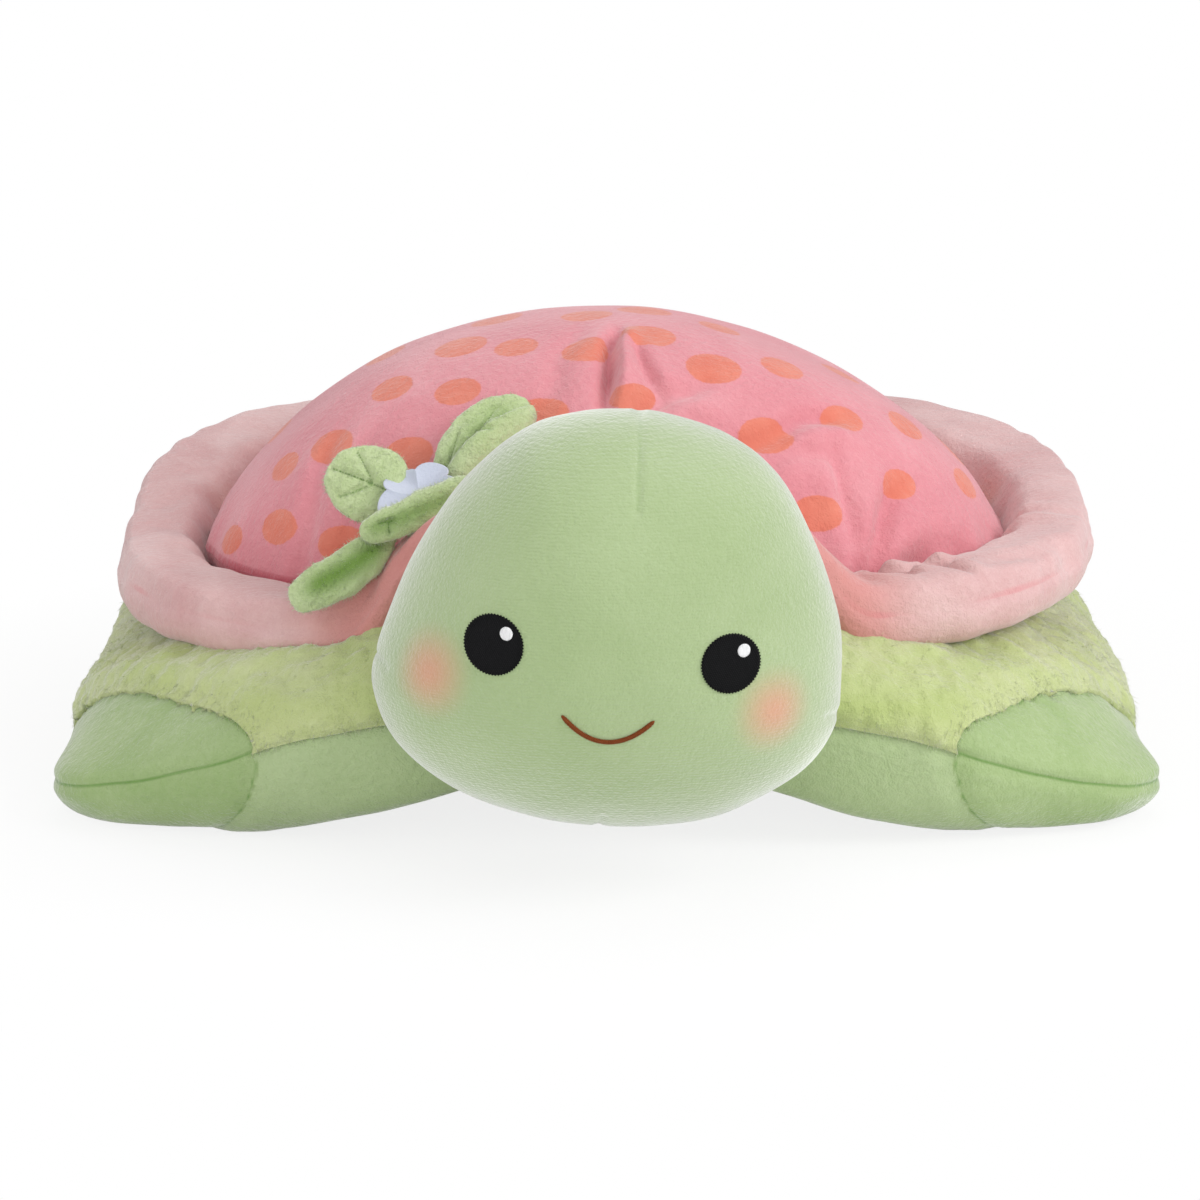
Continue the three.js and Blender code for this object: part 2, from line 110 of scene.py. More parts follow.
def cleared(owner):
    """Empties the node tree of a new material or world."""
    owner.use_nodes = True
    owner.node_tree.nodes.clear()
    return owner


def reckon(material, operation, *values, **settings):
    """The result of one step of arithmetic in a shader."""
    return node(material, "Math", dict(enumerate(values)), operation=operation, **settings).outputs[0]


def ranged(material, value, low, high, at_low, at_high, **settings):
    """A value that goes from one number at low to another at high, and stays there beyond them."""
    return node(material, "MapRange", {
        "Value": value, "From Min": low, "From Max": high, "To Min": at_low, "To Max": at_high,
    }, **settings).outputs[0]


def seen_share(material):
    """1 for what the eye sees, straight or by way of gloss or glass, and 0 for light on its way to the pillow."""
    rays = node(material, "LightPath").outputs
    seen = reckon(material, "ADD", rays["Is Camera Ray"], rays["Is Glossy Ray"], use_clamp=True)
    return reckon(material, "ADD", seen, rays["Is Transmission Ray"], use_clamp=True)


world = cleared(bpy.data.worlds.new("pale_studio"))
world_light = node(world, "Background", {"Color": (1, 1, 1, 1), "Strength": 0.5})
world_white = node(world, "Background", {"Color": (1, 1, 1, 1), "Strength": 1.0})
world_mix = node(world, "MixShader", {
    0: seen_share(world),
    1: world_light.outputs[0],
    2: world_white.outputs[0],
})
node(world, "OutputWorld", {"Surface": world_mix.outputs[0]})
bpy.context.scene.world = world

lamps = [
    # name, place, aimed at, size, power
    ("high_right_lamp", (1.45, -0.75, 1.15), (0, -0.05, 0.08), 0.9, 18.5),
    ("low_left_lamp", (-1.3, -1.2, 0.7), (0, -0.1, 0.08), 1.2, 5.4),
    ("overhead_lamp", (0.1, 0.25, 1.9), (0, 0, 0.1), 1.4, 7.5),
    ("low_front_lamp", (0.1, -1.6, 0.2), (0, -0.1, 0.05), 1.2, 7.5),
]
for lamp_name, lamp_place, lamp_aim, lamp_size, lamp_power in lamps:
    lamp_light = bpy.data.lights.new(lamp_name, "AREA")
    lamp_light.size = lamp_size
    lamp_light.energy = lamp_power
    lamp = bpy.data.objects.new(lamp_name, lamp_light)
    lamp.location = lamp_place
    lamp.rotation_euler = (Vector(lamp_aim) - Vector(lamp_place)).to_track_quat("-Z", "Y").to_euler()
    bpy.context.scene.collection.objects.link(lamp)

paper_reach = 12
paper_mesh = bpy.data.meshes.new("paper_floor")
paper_mesh.from_pydata(
    [(x * paper_reach, y * paper_reach, 0) for x, y in ((-1, -1), (1, -1), (1, 1), (-1, 1))],
    [], [(0, 1, 2, 3)],
)
paper = bpy.data.objects.new("paper_floor", paper_mesh)
bpy.context.scene.collection.objects.link(paper)
paper_white = cleared(bpy.data.materials.new("white_paper"))
paper_matt = node(paper_white, "BsdfDiffuse", {"Color": (0.93, 0.93, 0.93, 1), "Roughness": 0.5})
paper_glow = node(paper_white, "Emission", {"Color": (1, 1, 1, 1), "Strength": 1.0})
paper_place = node(paper_white, "TexCoord").outputs["Object"]
paper_far = node(paper_white, "VectorMath", {0: paper_place}, operation="LENGTH").outputs["Value"]
# close to the pillow some of the matt paper shows, which carries its shadow
paper_fade = ranged(paper_white, paper_far, 0.16, 0.36, 0.82, 1.0)
paper_share = reckon(paper_white, "MULTIPLY", paper_fade, seen_share(paper_white))
paper_mix = node(paper_white, "MixShader", {0: paper_share, 1: paper_matt.outputs[0], 2: paper_glow.outputs[0]})
node(paper_white, "OutputMaterial", {"Surface": paper_mix.outputs[0]})
paper_mesh.materials.append(paper_white)


# ---- Body cushion ----
# The cushion is one stuffed body in three lengthwise parts: long-pile lime plush on top, short
# pale plush below, and a darker foot panel on each corner, above and below its edge seam.
# It is sewn flat, turned and stuffed, so every seam draws the plush in and puckers it.
body_half_width = 198 * mm
body_half_length = 171 * mm
body_top_height = 42 * mm
body_bottom_height = 55 * mm
body_seam_height = 57 * mm
fold_x = 35 * mm
fold_turn = math.tan(math.radians(12))
fold_radius = 30 * mm
arch_half_width = 105 * mm
arch_height = 36 * mm
foot_front = (116 * mm, -171 * mm)
foot_side = (198 * mm, -85 * mm)
# towards each foot's tip the cushion thins and its edge seam sinks
corner_slack = 45 * mm
corner_reach = 26 * mm
corner_thin_share = 0.4
corner_drop = 8 * mm
body_edge_shares = [
    (0, 1), (0.36, 0.99), (0.62, 0.965), (0.8, 0.905), (0.95, 0.83), (1.02, 0.71), (1.0, 0.55), (0.99, 0.28),
    (0.985, 0),
]


def even_loop(points, count):
    """A smooth closed line through the points, as evenly spaced points."""
    points = np.array(points, float)
    total = len(points)
    t = np.linspace(0, total, total * 40, endpoint=False)
    i, f = t.astype(int), (t % 1)[:, None]
    a, b, c, d = (points[(i + k - 1) % total] for k in range(4))
    line = 0.5 * (2 * b + (c - a) * f + (2 * a - 5 * b + 4 * c - d) * f ** 2 + (3 * b - a - 3 * c + d) * f ** 3)
    line = np.vstack([line, line[:1]])
    along = np.concatenate([[0], np.cumsum(np.linalg.norm(np.diff(line, axis=0), axis=1))])
    at = np.linspace(0, along[-1], count, endpoint=False)
    return np.stack([np.interp(at, along, line[:, k]) for k in range(2)], 1)


@contextmanager
def reworked(mesh):
    """Opens a mesh so that its faces and edges can be changed, and writes it back."""
    form = bmesh.new()
    form.from_mesh(mesh)
    yield form
    form.to_mesh(mesh)
    form.free()


def piece_of(name, points, faces):
    """A smooth mesh object with its faces turned outward."""
    mesh = bpy.data.meshes.new(name)
    mesh.from_pydata([tuple(p) for p in points], [], faces)
    with reworked(mesh) as form:
        bmesh.ops.recalc_face_normals(form, faces=form.faces)
    mesh.shade_smooth()
    piece = bpy.data.objects.new(name, mesh)
    bpy.context.scene.collection.objects.link(piece)
    return piece


def ring_faces(rows, count):
    """Four-sided faces between rings of points."""
    return [
        (r * count + i, r * count + (i + 1) % count, (r + 1) * count + (i + 1) % count, (r + 1) * count + i)
        for r in range(rows - 1) for i in range(count)
    ]


def skin_of(name, rings, first=None, last=None):
    """A skin over rings of points, closed beyond its first and its last ring where a point is given there."""
    rows, count = len(rings), len(rings[0])
    points, faces = [*rings], ring_faces(rows, count)
    for ring_start, pole in ((0, first), ((rows - 1) * count, last)):
        if pole is not None:
            pole_number = rows * count + len(points) - rows
            faces += [(ring_start + i, ring_start + (i + 1) % count, pole_number) for i in range(count)]
            points.append(np.reshape(pole, (1, 3)))
    return piece_of(name, np.vstack(points), faces)


def column(source, key, wide=1, kind=np.float32):
    """One property of all the items of a mesh collection."""
    out = np.empty(len(source) * wide, kind)
    source.foreach_get(key, out)
    return out.reshape(-1, wide) if wide > 1 else out


def spots(piece):
    """The places of a mesh's points."""
    return column(piece.data.vertices, "co", 3).astype(float)


def outward(piece):
    """The way that the skin faces at each point."""
    return column(piece.data.vertex_normals, "vector", 3).astype(float)


def kept_number(piece, name):
    """The number that give() keeps for each point."""
    return column(piece.data.attributes[name].data, "value")


def place(piece, points):
    """Moves a piece's vertices to the points."""
    piece.data.vertices.foreach_set("co", np.asarray(points, np.float32).ravel())
    piece.data.update()


def give(piece, name, values):
    """Keeps one number for each point, which a material can read."""
    kept = piece.data.attributes.get(name) or piece.data.attributes.new(name, "FLOAT", "POINT")
    kept.data.foreach_set("value", np.asarray(values, np.float32))


def grain(points, scale, shift=0.0):
    """Smooth noise from -1 to 1 at each point."""
    return np.array([noise.noise(Vector(p) * scale + Vector((shift, shift * 0.7, -shift))) for p in points])


def lesser(a, b, soft):
    """The lower of two heights, with a soft turn between them."""
    return 0.5 * (a + b - np.sqrt((a - b) ** 2 + soft ** 2))


def finer(piece, rows, count):
    """Doubles a skin's rings and the points on them along smooth curves, with its numbers carried over."""
    names = [kept.name for kept in piece.data.attributes if kept.data_type == "FLOAT"]
    points = np.column_stack([spots(piece), *(kept_number(piece, name) for name in names)])
    wide = points.shape[1]
    grid, poles = points[: rows * count].reshape(rows, count, wide), points[rows * count:]
    half = (9 * (grid + np.roll(grid, -1, 1)) - np.roll(grid, 1, 1) - np.roll(grid, -2, 1)) / 16
    grid = np.stack([grid, half], 2).reshape(rows, count * 2, wide)
    padded = np.concatenate([2 * grid[:1] - grid[1:2], grid, 2 * grid[-1:] - grid[-2:-1]])
    half = (9 * (padded[1:-2] + padded[2:-1]) - padded[:-3] - padded[3:]) / 16
    rows, count = rows * 2 - 1, count * 2
    fine = np.empty((rows, count, wide))
    fine[::2], fine[1::2] = grid, half
    # a single pole closes the last ring, and of two the first closes the first ring
    ends = [None, None, *poles[:, :3]][-2:]
    name, old = piece.name, piece.data
    made = skin_of(name + "_fine", fine[:, :, :3], *ends)
    piece.data = made.data
    bpy.data.objects.remove(made)
    bpy.data.meshes.remove(old)
    piece.data.name = name
    flat = np.vstack([fine.reshape(-1, wide), poles])
    for number, kept in enumerate(names):
        give(piece, kept, flat[:, 3 + number])


stuffing_steps = 20


def stuff(piece, held, pressure, cap):
    """Fills a sewn skin: cloth under pressure, held along its seams, that moves no further than cap."""
    before = spots(piece)
    seams = piece.vertex_groups.new(name="seams")
    seams.add([int(i) for i in np.nonzero(held)[0]], 1.0, "REPLACE")
    cloth = piece.modifiers.new("stuffing", "CLOTH")
    fabric = cloth.settings
    fabric.quality = 5
    fabric.mass = 0.2
    fabric.tension_stiffness = fabric.compression_stiffness = 18
    fabric.shear_stiffness = 8
    fabric.bending_stiffness = 0.4
    fabric.use_pressure = True
    fabric.uniform_pressure_force = pressure
    fabric.vertex_group_mass = "seams"
    fabric.effector_weights.gravity = 0
    cloth.point_cache.frame_start = 1
    cloth.point_cache.frame_end = stuffing_steps
    for step in range(1, stuffing_steps + 1):
        bpy.context.scene.frame_set(step)
    found = piece.evaluated_get(bpy.context.evaluated_depsgraph_get())
    moved = column(found.data.vertices, "co", 3) - before
    length = np.linalg.norm(moved, axis=1, keepdims=True) + 1e-12
    piece.modifiers.remove(cloth)
    piece.vertex_groups.clear()
    bpy.context.scene.frame_set(1)
    place(piece, before + moved * np.minimum(1, cap / length))


def mixed(material, share, *colours):
    """Two colours mixed. Each is another node's output, or three plain numbers."""
    first, second = ((*colour, 1) if isinstance(colour, tuple) else colour for colour in colours)
    return node(material, "Mix", {0: share, 6: first, 7: second}, data_type="RGBA").outputs[2]


def read_number(material, name):
    """A number that give() keeps on the skin, in a shader."""
    return node(material, "Attribute", attribute_name=name).outputs["Fac"]


def speckle(material, where, scale, detail, distortion=0.0):
    """Soft random light and dark."""
    return node(material, "TexNoise", {
        "Vector": where, "Scale": scale, "Detail": detail, "Distortion": distortion,
    }).outputs["Fac"]


def surfaced(material, tone, height, strength, distance, finish):
    """Ends a material with its colour, its fine relief and the numbers of its finish."""
    bump = node(material, "Bump", {"Height": height, "Strength": strength, "Distance": distance})
    surface = node(material, "BsdfPrincipled", {"Base Color": tone, "Normal": bump.outputs[0], **finish})
    node(material, "OutputMaterial", {"Surface": surface.outputs[0]})
    return material


def plush(name, colour, light, dark, patch=0.3, tuft=0.35, fibre=0.25, pile=0.6, sheen=0.5, tuft_size=2.6,
          sheen_spread=0.38, seam_shade_colour=None, seam_shade_share=0.8, ribs=0.0, finish=None):
    """Brushed plush: patches where the pile lies another way, tufts, fibres, a pale sheen at grazing angles, and, where
    a seam colour is given, painted shade in the grooves of its seams.
    """
    material = cleared(bpy.data.materials.new(name))
    where = node(material, "TexCoord").outputs["Object"]
    patches = speckle(material, where, 24.0, 3.0, 0.6)
    tufts = speckle(material, where, 1000 / tuft_size, 2.0)
    fibres = speckle(material, where, 1500.0, 1.0)

    def weighed(source, share, added):
        return reckon(material, "MULTIPLY_ADD", reckon(material, "SUBTRACT", source, 0.5), share, added)

    tone = weighed(patches, patch * 2, 0.5)
    tone = weighed(tufts, tuft, tone)
    tone = weighed(fibres, fibre, tone)
    height = weighed(fibres, 0.5, tufts)
    if ribs:
        # the knit's rows show through the short pile
        rows = node(material, "TexWave", {
            "Vector": where, "Scale": 290.0, "Distortion": 4.0, "Detail": 2.0, "Detail Scale": 0.6,
        }, bands_direction="Z").outputs["Fac"]
        tone, height = weighed(rows, ribs, tone), weighed(rows, 4 * ribs, height)
    shade = node(material, "ValToRGB", {"Fac": tone})
    ramp = shade.color_ramp
    ramp.elements[0].color = (*dark, 1)
    ramp.elements[1].color = (*light, 1)
    ramp.elements.new(0.5).color = (*colour, 1)
    tint = shade.outputs["Color"]
    if finish:
        tint = finish(material, where, tint)
    # painted shade: the plush is painted darker in the groove along each seam
    if seam_shade_colour:
        seam = read_number(material, "seam_mm")
        near = ranged(material, seam, 0.1, 1.0, seam_shade_share, 0.0, interpolation_type="SMOOTHSTEP")
        tint = mixed(material, near, tint, seam_shade_colour)
    return surfaced(material, tint, height, pile, 1.2 * mm, {
        "Roughness": 0.92, "Specular IOR Level": 0.15, "Sheen Weight": sheen,
        "Sheen Roughness": sheen_spread, "Sheen Tint": (1, 1, 1, 1),
    })


def linear(red, green, blue):
    """A colour as it looks on a screen, from 0 to 255, as the light that it stands for."""
    return tuple((c / 255 / 12.92) if c <= 10 else ((c / 255 + 0.055) / 1.055) ** 2.4 for c in (red, green, blue))


def eased(value, low, high):
    """From 0 at low to 1 at high, with soft ends."""
    t = np.clip((value - low) / (high - low), 0, 1)
    return t * t * (3 - 2 * t)


def beyond_cross_seam(x, y):
    """How far a point of the plan lies outside the nearest foot's cross seam; below zero in the body's middle."""
    along = np.array(foot_side) - np.array(foot_front)
    along = along / np.linalg.norm(along)
    return (np.abs(x) - foot_front[0]) * along[1] - (-np.abs(y) - foot_front[1]) * along[0]


def plumpness(x, y):
    """How much of its full thickness the cushion has at a place in plan."""
    return 1 - corner_thin_share * eased(beyond_cross_seam(x, y), -corner_slack, corner_reach)


def seam_height_at(x, y):
    """Height of the edge seam: it sinks past the folds, as the halves turn down, and at the feet."""
    out = np.abs(x) - fold_x
    bend = (out + np.hypot(out, fold_radius)) / 2
    start = (-fold_x + np.hypot(-fold_x, fold_radius)) / 2
    sunk = corner_drop * eased(beyond_cross_seam(x, y), -corner_reach / 2, corner_reach)
    return body_seam_height - fold_turn * (bend - start) - sunk


def oval_share(x, y, half_x, half_y, power):
    """How far out a plan point lies in a rounded oval: 0 at its middle and 1 on its edge."""
    return (np.abs(x / half_x) ** power + np.abs(y / half_y) ** power) ** (1 / power)


# where the brim, which lies on the cushion, presses it down
brim_half_width = 188 * mm
brim_half_length = 151 * mm
brim_thick = 24 * mm
brim_power = 2.7


def head_push(x, y):
    """How far the head pushes the brim up at a place in plan."""
    front = np.maximum(0, -y / brim_half_length)
    return 42 * mm * np.exp(-((x / (80 * mm)) ** 8)) * front ** 2


def brim_crest(x, y):
    """Height of the brim's top: it climbs to the rear and its left, and the head pushes it up in front."""
    rear = (8 - 0.03 * x / mm) * eased(y, -30 * mm, 120 * mm)
    return (86 + 0.057 * (y / mm + 128) + 0.03 * x / mm + rear) * mm + head_push(x, y)


body_count = 260
body_quarter = [(x * body_half_width, y * body_half_length) for x, y in body_edge_shares]
body_loop = (
    [(x, -y) for x, y in body_quarter]
    + body_quarter[:-1][::-1]
    + [(-x, y) for x, y in body_quarter[1:]]
    + [(-x, -y) for x, y in body_quarter[1:-1][::-1]]
)
body_outline = even_loop(body_loop, body_count)
body_shares = np.sin(np.linspace(0.06, math.pi / 2, 34)) ** 0.9
lower_rows = [(s, -1) for s in body_shares]
upper_rows = [(s, 1) for s in body_shares[:-1][::-1]]
body_rows = lower_rows + upper_rows
rings = []
sides = []
for share, side in body_rows:
    x, y = (body_outline * share).T
    seam = seam_height_at(x, y)
    plump = plumpness(x, y)
    if side < 0:
        tip = eased(beyond_cross_seam(x, y), -5 * mm, 62 * mm)
        crown = np.sqrt(np.maximum(0, 1 - share ** (10 - 7 * tip)))
        lift = 1 - 0.3 * tip - 0.2 * eased(np.abs(x), 165 * mm, 199 * mm) * eased(tip, 0.15, 0.6)
        fall = seam - body_bottom_height * (0.45 + 0.55 * plump) * lift * crown
        at_edge = eased(np.abs(y), 90 * mm, 150 * mm)
        arch = arch_height * (1 - at_edge) * (1 - (x / arch_half_width) ** 2)
        arch = arch + 28 * mm * at_edge * np.clip(1 - (x / (130 * mm)) ** 2, 0, 1) ** 1.7
        arch = np.maximum(0.4 * mm, arch)
        z = -lesser(-arch, -fall, 5 * mm)
    else:
        z = seam + body_top_height * plump * (1 - share ** 3) ** 0.46
        inside = oval_share(x, y, brim_half_width, brim_half_length, brim_power)
        # under the brim the plush is pressed down, and it swells again outside its edge
        under = brim_crest(x, y) - brim_thick * (0.55 + 0.45 * np.sqrt(np.clip(1 - inside ** 6, 0, 1)))
        under = under + np.maximum(0, inside - 1) * 260 * mm
        z = lesser(z, under - 1 * mm, 7 * mm)
    rings.append(np.stack([x, y + pillow_middle, z], 1))
    sides += [side if share < 1 else 0] * body_count
body_sides = np.array(sides + [-1, 1])
body = skin_of(
    "body_cushion", rings, (0, pillow_middle, arch_height), (0, pillow_middle, rings[-1][:, 2].mean()),
)


def body_seam_distances(points, side):
    """Distances to the edge seam, to the feet's cross seams and to the fold seams."""
    x, y = points[:, 0], points[:, 1] - pillow_middle
    edge = np.abs(points[:, 2] - seam_height_at(x, y)) + 400 * mm * (oval_share(x, y, 0.23, 0.2, 3) < 0.6)
    cross = np.abs(beyond_cross_seam(x, y))
    fold = np.where(side < 0, np.abs(np.abs(x) - fold_x), 1.0)
    return edge, cross, fold


def sewn_in(piece, distance, depth, width, pucker, pitch, shift=0.0):
    """Draws the skin in along a seam, with puckers that run away from it."""
    points, normal = spots(piece), outward(piece)
    draw = depth * np.exp(-((distance / width) ** 2))
    folds = pucker * np.exp(-((distance / (3 * width)) ** 2)) * grain(points * [1, 1, 0.25], 1 / pitch, shift)
    place(piece, points + normal * (folds - draw)[:, None])


def creased(points, table):
    """How deep creases sink: each runs between two places in plan, and the cloth swells along its left side."""
    sunk = np.zeros(len(points))
    for start, end, depth, width, swell in table:
        start, end = np.array(start) * mm + [0, pillow_middle], np.array(end) * mm + [0, pillow_middle]
        run = (end - start) / np.linalg.norm(end - start)
        along = (points[:, :2] - start) @ run
        aside = (points[:, :2] - start) @ [-run[1], run[0]]
        beyond = np.maximum(0, np.maximum(-along, along - np.linalg.norm(end - start)))
        fade = np.exp(-((beyond / (3.0 * width * mm)) ** 2))
        wander = aside + 0.25 * width * mm * np.sin(along / (5 * mm))
        furrow = depth * np.exp(-((wander / (width * mm)) ** 2))
        ridge = swell * np.exp(-(((wander - 2.1 * width * mm) / (1.5 * width * mm)) ** 2))
        sunk += fade * mm * (furrow - ridge)
    return sunk


edge, cross, fold = body_seam_distances(spots(body), body_sides)
body_seams = np.minimum(np.minimum(edge, cross), fold)
stuff(body, (body_seams < 4 * mm) | (spots(body)[:, 2] < 2 * mm), 2.2, 5 * mm)
sewn_in(body, edge, 1.6 * mm, 2.4 * mm, 1.4 * mm, 17 * mm)
sewn_in(body, cross, 1.5 * mm, 2.2 * mm, 1.0 * mm, 15 * mm, 3.0)
sewn_in(body, fold, 3 * mm, 4 * mm, 1.0 * mm, 18 * mm, 5.0)
points, normal = spots(body), outward(body)
soft_swell = grain(points, 16, 7.0) * 2.2 * mm + grain(points, 45, 2.0) * 0.8 * mm
points = points + normal * soft_swell[:, None]
points[:, 2] = np.maximum(points[:, 2], 0.3 * mm)
place(body, points)
give(body, "side", body_sides)
finer(body, len(body_rows), body_count)
edge, cross, fold = body_seam_distances(spots(body), kept_number(body, "side"))
give(body, "edge_mm", edge / mm)
give(body, "cross_mm", cross / mm)
give(body, "seam_mm", np.minimum(np.minimum(edge, cross), fold) / mm)


def cut_along(piece, cuts):
    """Lays edges across a skin where planes cross it, each given by a point and the way that it faces."""
    with reworked(piece.data) as form:
        for cut_at, cut_normal in cuts:
            bmesh.ops.bisect_plane(
                form, geom=form.verts[:] + form.edges[:] + form.faces[:], dist=1e-7,
                plane_co=cut_at, plane_no=cut_normal,
            )


# the skin is cut along the folds and the feet's cross seams
cuts = [((sign * fold_x, 0, 0), (1, 0, 0)) for sign in (-1, 1)]
for sign_x in (-1, 1):
    for sign_y in (-1, 1):
        front = Vector((sign_x * foot_front[0], pillow_middle - sign_y * foot_front[1], 0))
        aside = Vector((sign_x * foot_side[0], pillow_middle - sign_y * foot_side[1], 0))
        run = aside - front
        cuts.append((tuple(front), (run.y, -run.x, 0)))
cut_along(body, cuts)


def part_of(whole, name, keep):
    """A piece made of the faces of a whole skin that keep() chooses, by their middles and their corners' sides."""
    mesh = whole.data
    middles = column(mesh.polygons, "center", 3)
    corner_sides = kept_number(whole, "side")[column(mesh.loops, "vertex_index", kind=np.int32)]
    starts = column(mesh.polygons, "loop_start", kind=np.int32)
    kept = keep(middles, np.add.reduceat(corner_sides, starts))
    part = bpy.data.objects.new(name, mesh.copy())
    part.data.name = name
    bpy.context.scene.collection.objects.link(part)
    with reworked(part.data) as form:
        form.faces.ensure_lookup_table()
        bmesh.ops.delete(form, geom=[f for f in form.faces if not kept[f.index]], context="FACES")
    part.data.shade_smooth()
    return part


# the seam colours are shade painted into the grooves of the seams
pale_belly = plush(
    "pale_belly_plush", linear(173, 191, 144), linear(191, 206, 164), linear(149, 172, 118),
    patch=0.3, fibre=0.35, sheen=0.8, seam_shade_colour=linear(128, 155, 92),
)
foot_green = plush(
    "foot_plush", linear(161, 182, 129), linear(185, 202, 156), linear(138, 168, 102),
    patch=0.45, fibre=0.35, sheen=0.9, seam_shade_colour=linear(108, 146, 74),
)


def haired(piece, count, length, thick, seed, weight, out, lean):
    """Sets single hairs on a skin: thin closed cones that lie over it the way the pile is combed."""
    mesh = piece.data
    points, normal = spots(piece), outward(piece)
    mesh.calc_loop_triangles()
    corners = column(mesh.loop_triangles, "vertices", 3, np.int32)
    a, b, c = (points[corners[:, k]] for k in range(3))
    share = np.linalg.norm(np.cross(b - a, c - a), axis=1) * weight[corners[:, 0]]
    chance = np.random.default_rng(seed)
    chosen = chance.choice(len(corners), count, p=share / share.sum())
    u, v = np.sort(chance.random((2, count)), axis=0)
    shares = np.stack([u, v - u, 1 - v], 1)[:, :, None]
    root = (points[corners[chosen]] * shares).sum(1)
    up = (normal[corners[chosen]] * shares).sum(1)
    lie = np.stack([grain(root, 1 / (9 * mm), seed + k) for k in (1, 2, 3)], 1) * 0.9 + lean
    lie = lie - up * (lie * up).sum(1)[:, None]
    way = up * out + lie + chance.normal(0, 0.15, (count, 3))
    way = way / np.linalg.norm(way, axis=1)[:, None]
    aside = np.cross(way, up + [0.01, 0.02, 0])
    aside = aside / np.linalg.norm(aside, axis=1)[:, None]
    ahead = np.cross(way, aside)
    root = root - up * 0.4 * mm
    hairs = np.stack([
        root + aside * thick, root - aside * thick * 0.5 + ahead * thick * 0.87,
        root - aside * thick * 0.5 - ahead * thick * 0.87,
        root + way * (length * chance.uniform(0.6, 1.15, count))[:, None],
    ], 1)
    hairs[:, :, 2] = np.maximum(hairs[:, :, 2], 0.2 * mm)
    kept = {}
    for attribute in mesh.attributes:
        if attribute.data_type == "FLOAT" and attribute.domain == "POINT":
            values = column(attribute.data, "value")
            kept[attribute.name] = np.concatenate([values, np.repeat(values[corners[chosen, 0]], 4)])
    faces = [tuple(face.vertices) for face in mesh.polygons]
    for first in range(len(points), len(points) + 4 * count, 4):
        faces += [(first, first + 1, first + 3), (first + 1, first + 2, first + 3), (first + 2, first, first + 3),
                  (first + 2, first + 1, first)]
    made = bpy.data.meshes.new(mesh.name + "_haired")
    made.from_pydata(np.vstack([points, hairs.reshape(-1, 3)]).tolist(), [], faces)
    made.shade_smooth()
    for material in mesh.materials:
        made.materials.append(material)
    piece.data = made
    bpy.data.meshes.remove(mesh)
    for name, values in kept.items():
        give(piece, name, values)
    give(piece, "tip", np.concatenate([np.full(len(points), 0.5), np.tile([0.5, 0.5, 0.5, 1.3], count)]))


def furred(panel, pile, strand_count, strand_length, seed):
    """Raises long pile on a panel: a thick edge that hangs over the seams, shallow tufts and single hairs."""
    near = np.minimum(99, np.minimum(kept_number(panel, "edge_mm"), kept_number(panel, "cross_mm")))
    give(panel, "near_mm", near)
    rim_share, middle_share = 0.32, 0.68
    place(panel, spots(panel) + outward(panel) * (pile * (rim_share + middle_share * eased(near, 0, 10)))[:, None])
    with reworked(panel.data) as form:
        # the open edges turn in over the seam, except along the folds, where the next panel's pile goes on
        rim = [
            e for e in form.edges
            if e.is_boundary and not all(abs(abs(v.co.x) - fold_x) < 1.2 * mm for v in e.verts)
        ]
        # one vertex and one face after the other, so that every run draws the same hairs
        turned = {}
        for vert in (v for e in rim for v in e.verts):
            if vert not in turned:
                turned[vert] = form.verts.new(vert.co - vert.normal * (pile * rim_share + 3 * mm), vert)
        for loop in (e.link_loops[0] for e in rim):
            start, end = loop.vert, loop.link_loop_next.vert
            form.faces.new((end, start, turned[start], turned[end]))
        bmesh.ops.subdivide_edges(form, edges=form.edges[:], cuts=1, use_grid_fill=True)
    points, normal = spots(panel), outward(panel)
    combed = points * [1, 1, 0.6]
    tufts = np.abs(grain(combed, 1 / (10 * mm), seed)) * 2.2 * mm
    tufts = tufts + np.abs(grain(combed, 1 / (3.8 * mm), seed + 5)) * 1.1 * mm
    near = kept_number(panel, "near_mm")
    points = points + normal * ((tufts - 1.1 * mm) * eased(near, 0, 5))[:, None]
    points[:, 2] = np.maximum(points[:, 2], 0.3 * mm)
    place(panel, points)
    haired(panel, strand_count, strand_length, 0.13 * mm, seed, 1 + 7.0 * (near < 4), 0.3, (0, -0.1, -0.9))


def pale_tips(material, where, tint):
    """Long pile is paler at its tips and yellower in wide brushed streaks."""
    stretched = node(material, "Mapping", {"Vector": where, "Scale": (10, 26, 60)}).outputs[0]
    deep = ranged(material, speckle(material, stretched, 1.0, 3.0), 0.4, 0.7, 0.0, 0.45)
    pale = ranged(material, read_number(material, "tip"), 0.5, 1.3, 0.0, 0.8)
    return mixed(material, pale, mixed(material, deep, tint, linear(166, 185, 102)), linear(212, 219, 178))


lime_fur = plush(
    "lime_fur", linear(192, 201, 146), linear(209, 216, 172), linear(170, 187, 120),
    patch=0.5, tuft=0.3, fibre=0.4, pile=0.7, sheen=0.9, tuft_size=4.0, finish=pale_tips,
)


def in_corner(middles):
    """Whether faces lie past a foot's cross seam."""
    return beyond_cross_seam(middles[:, 0], middles[:, 1] - pillow_middle) > 0


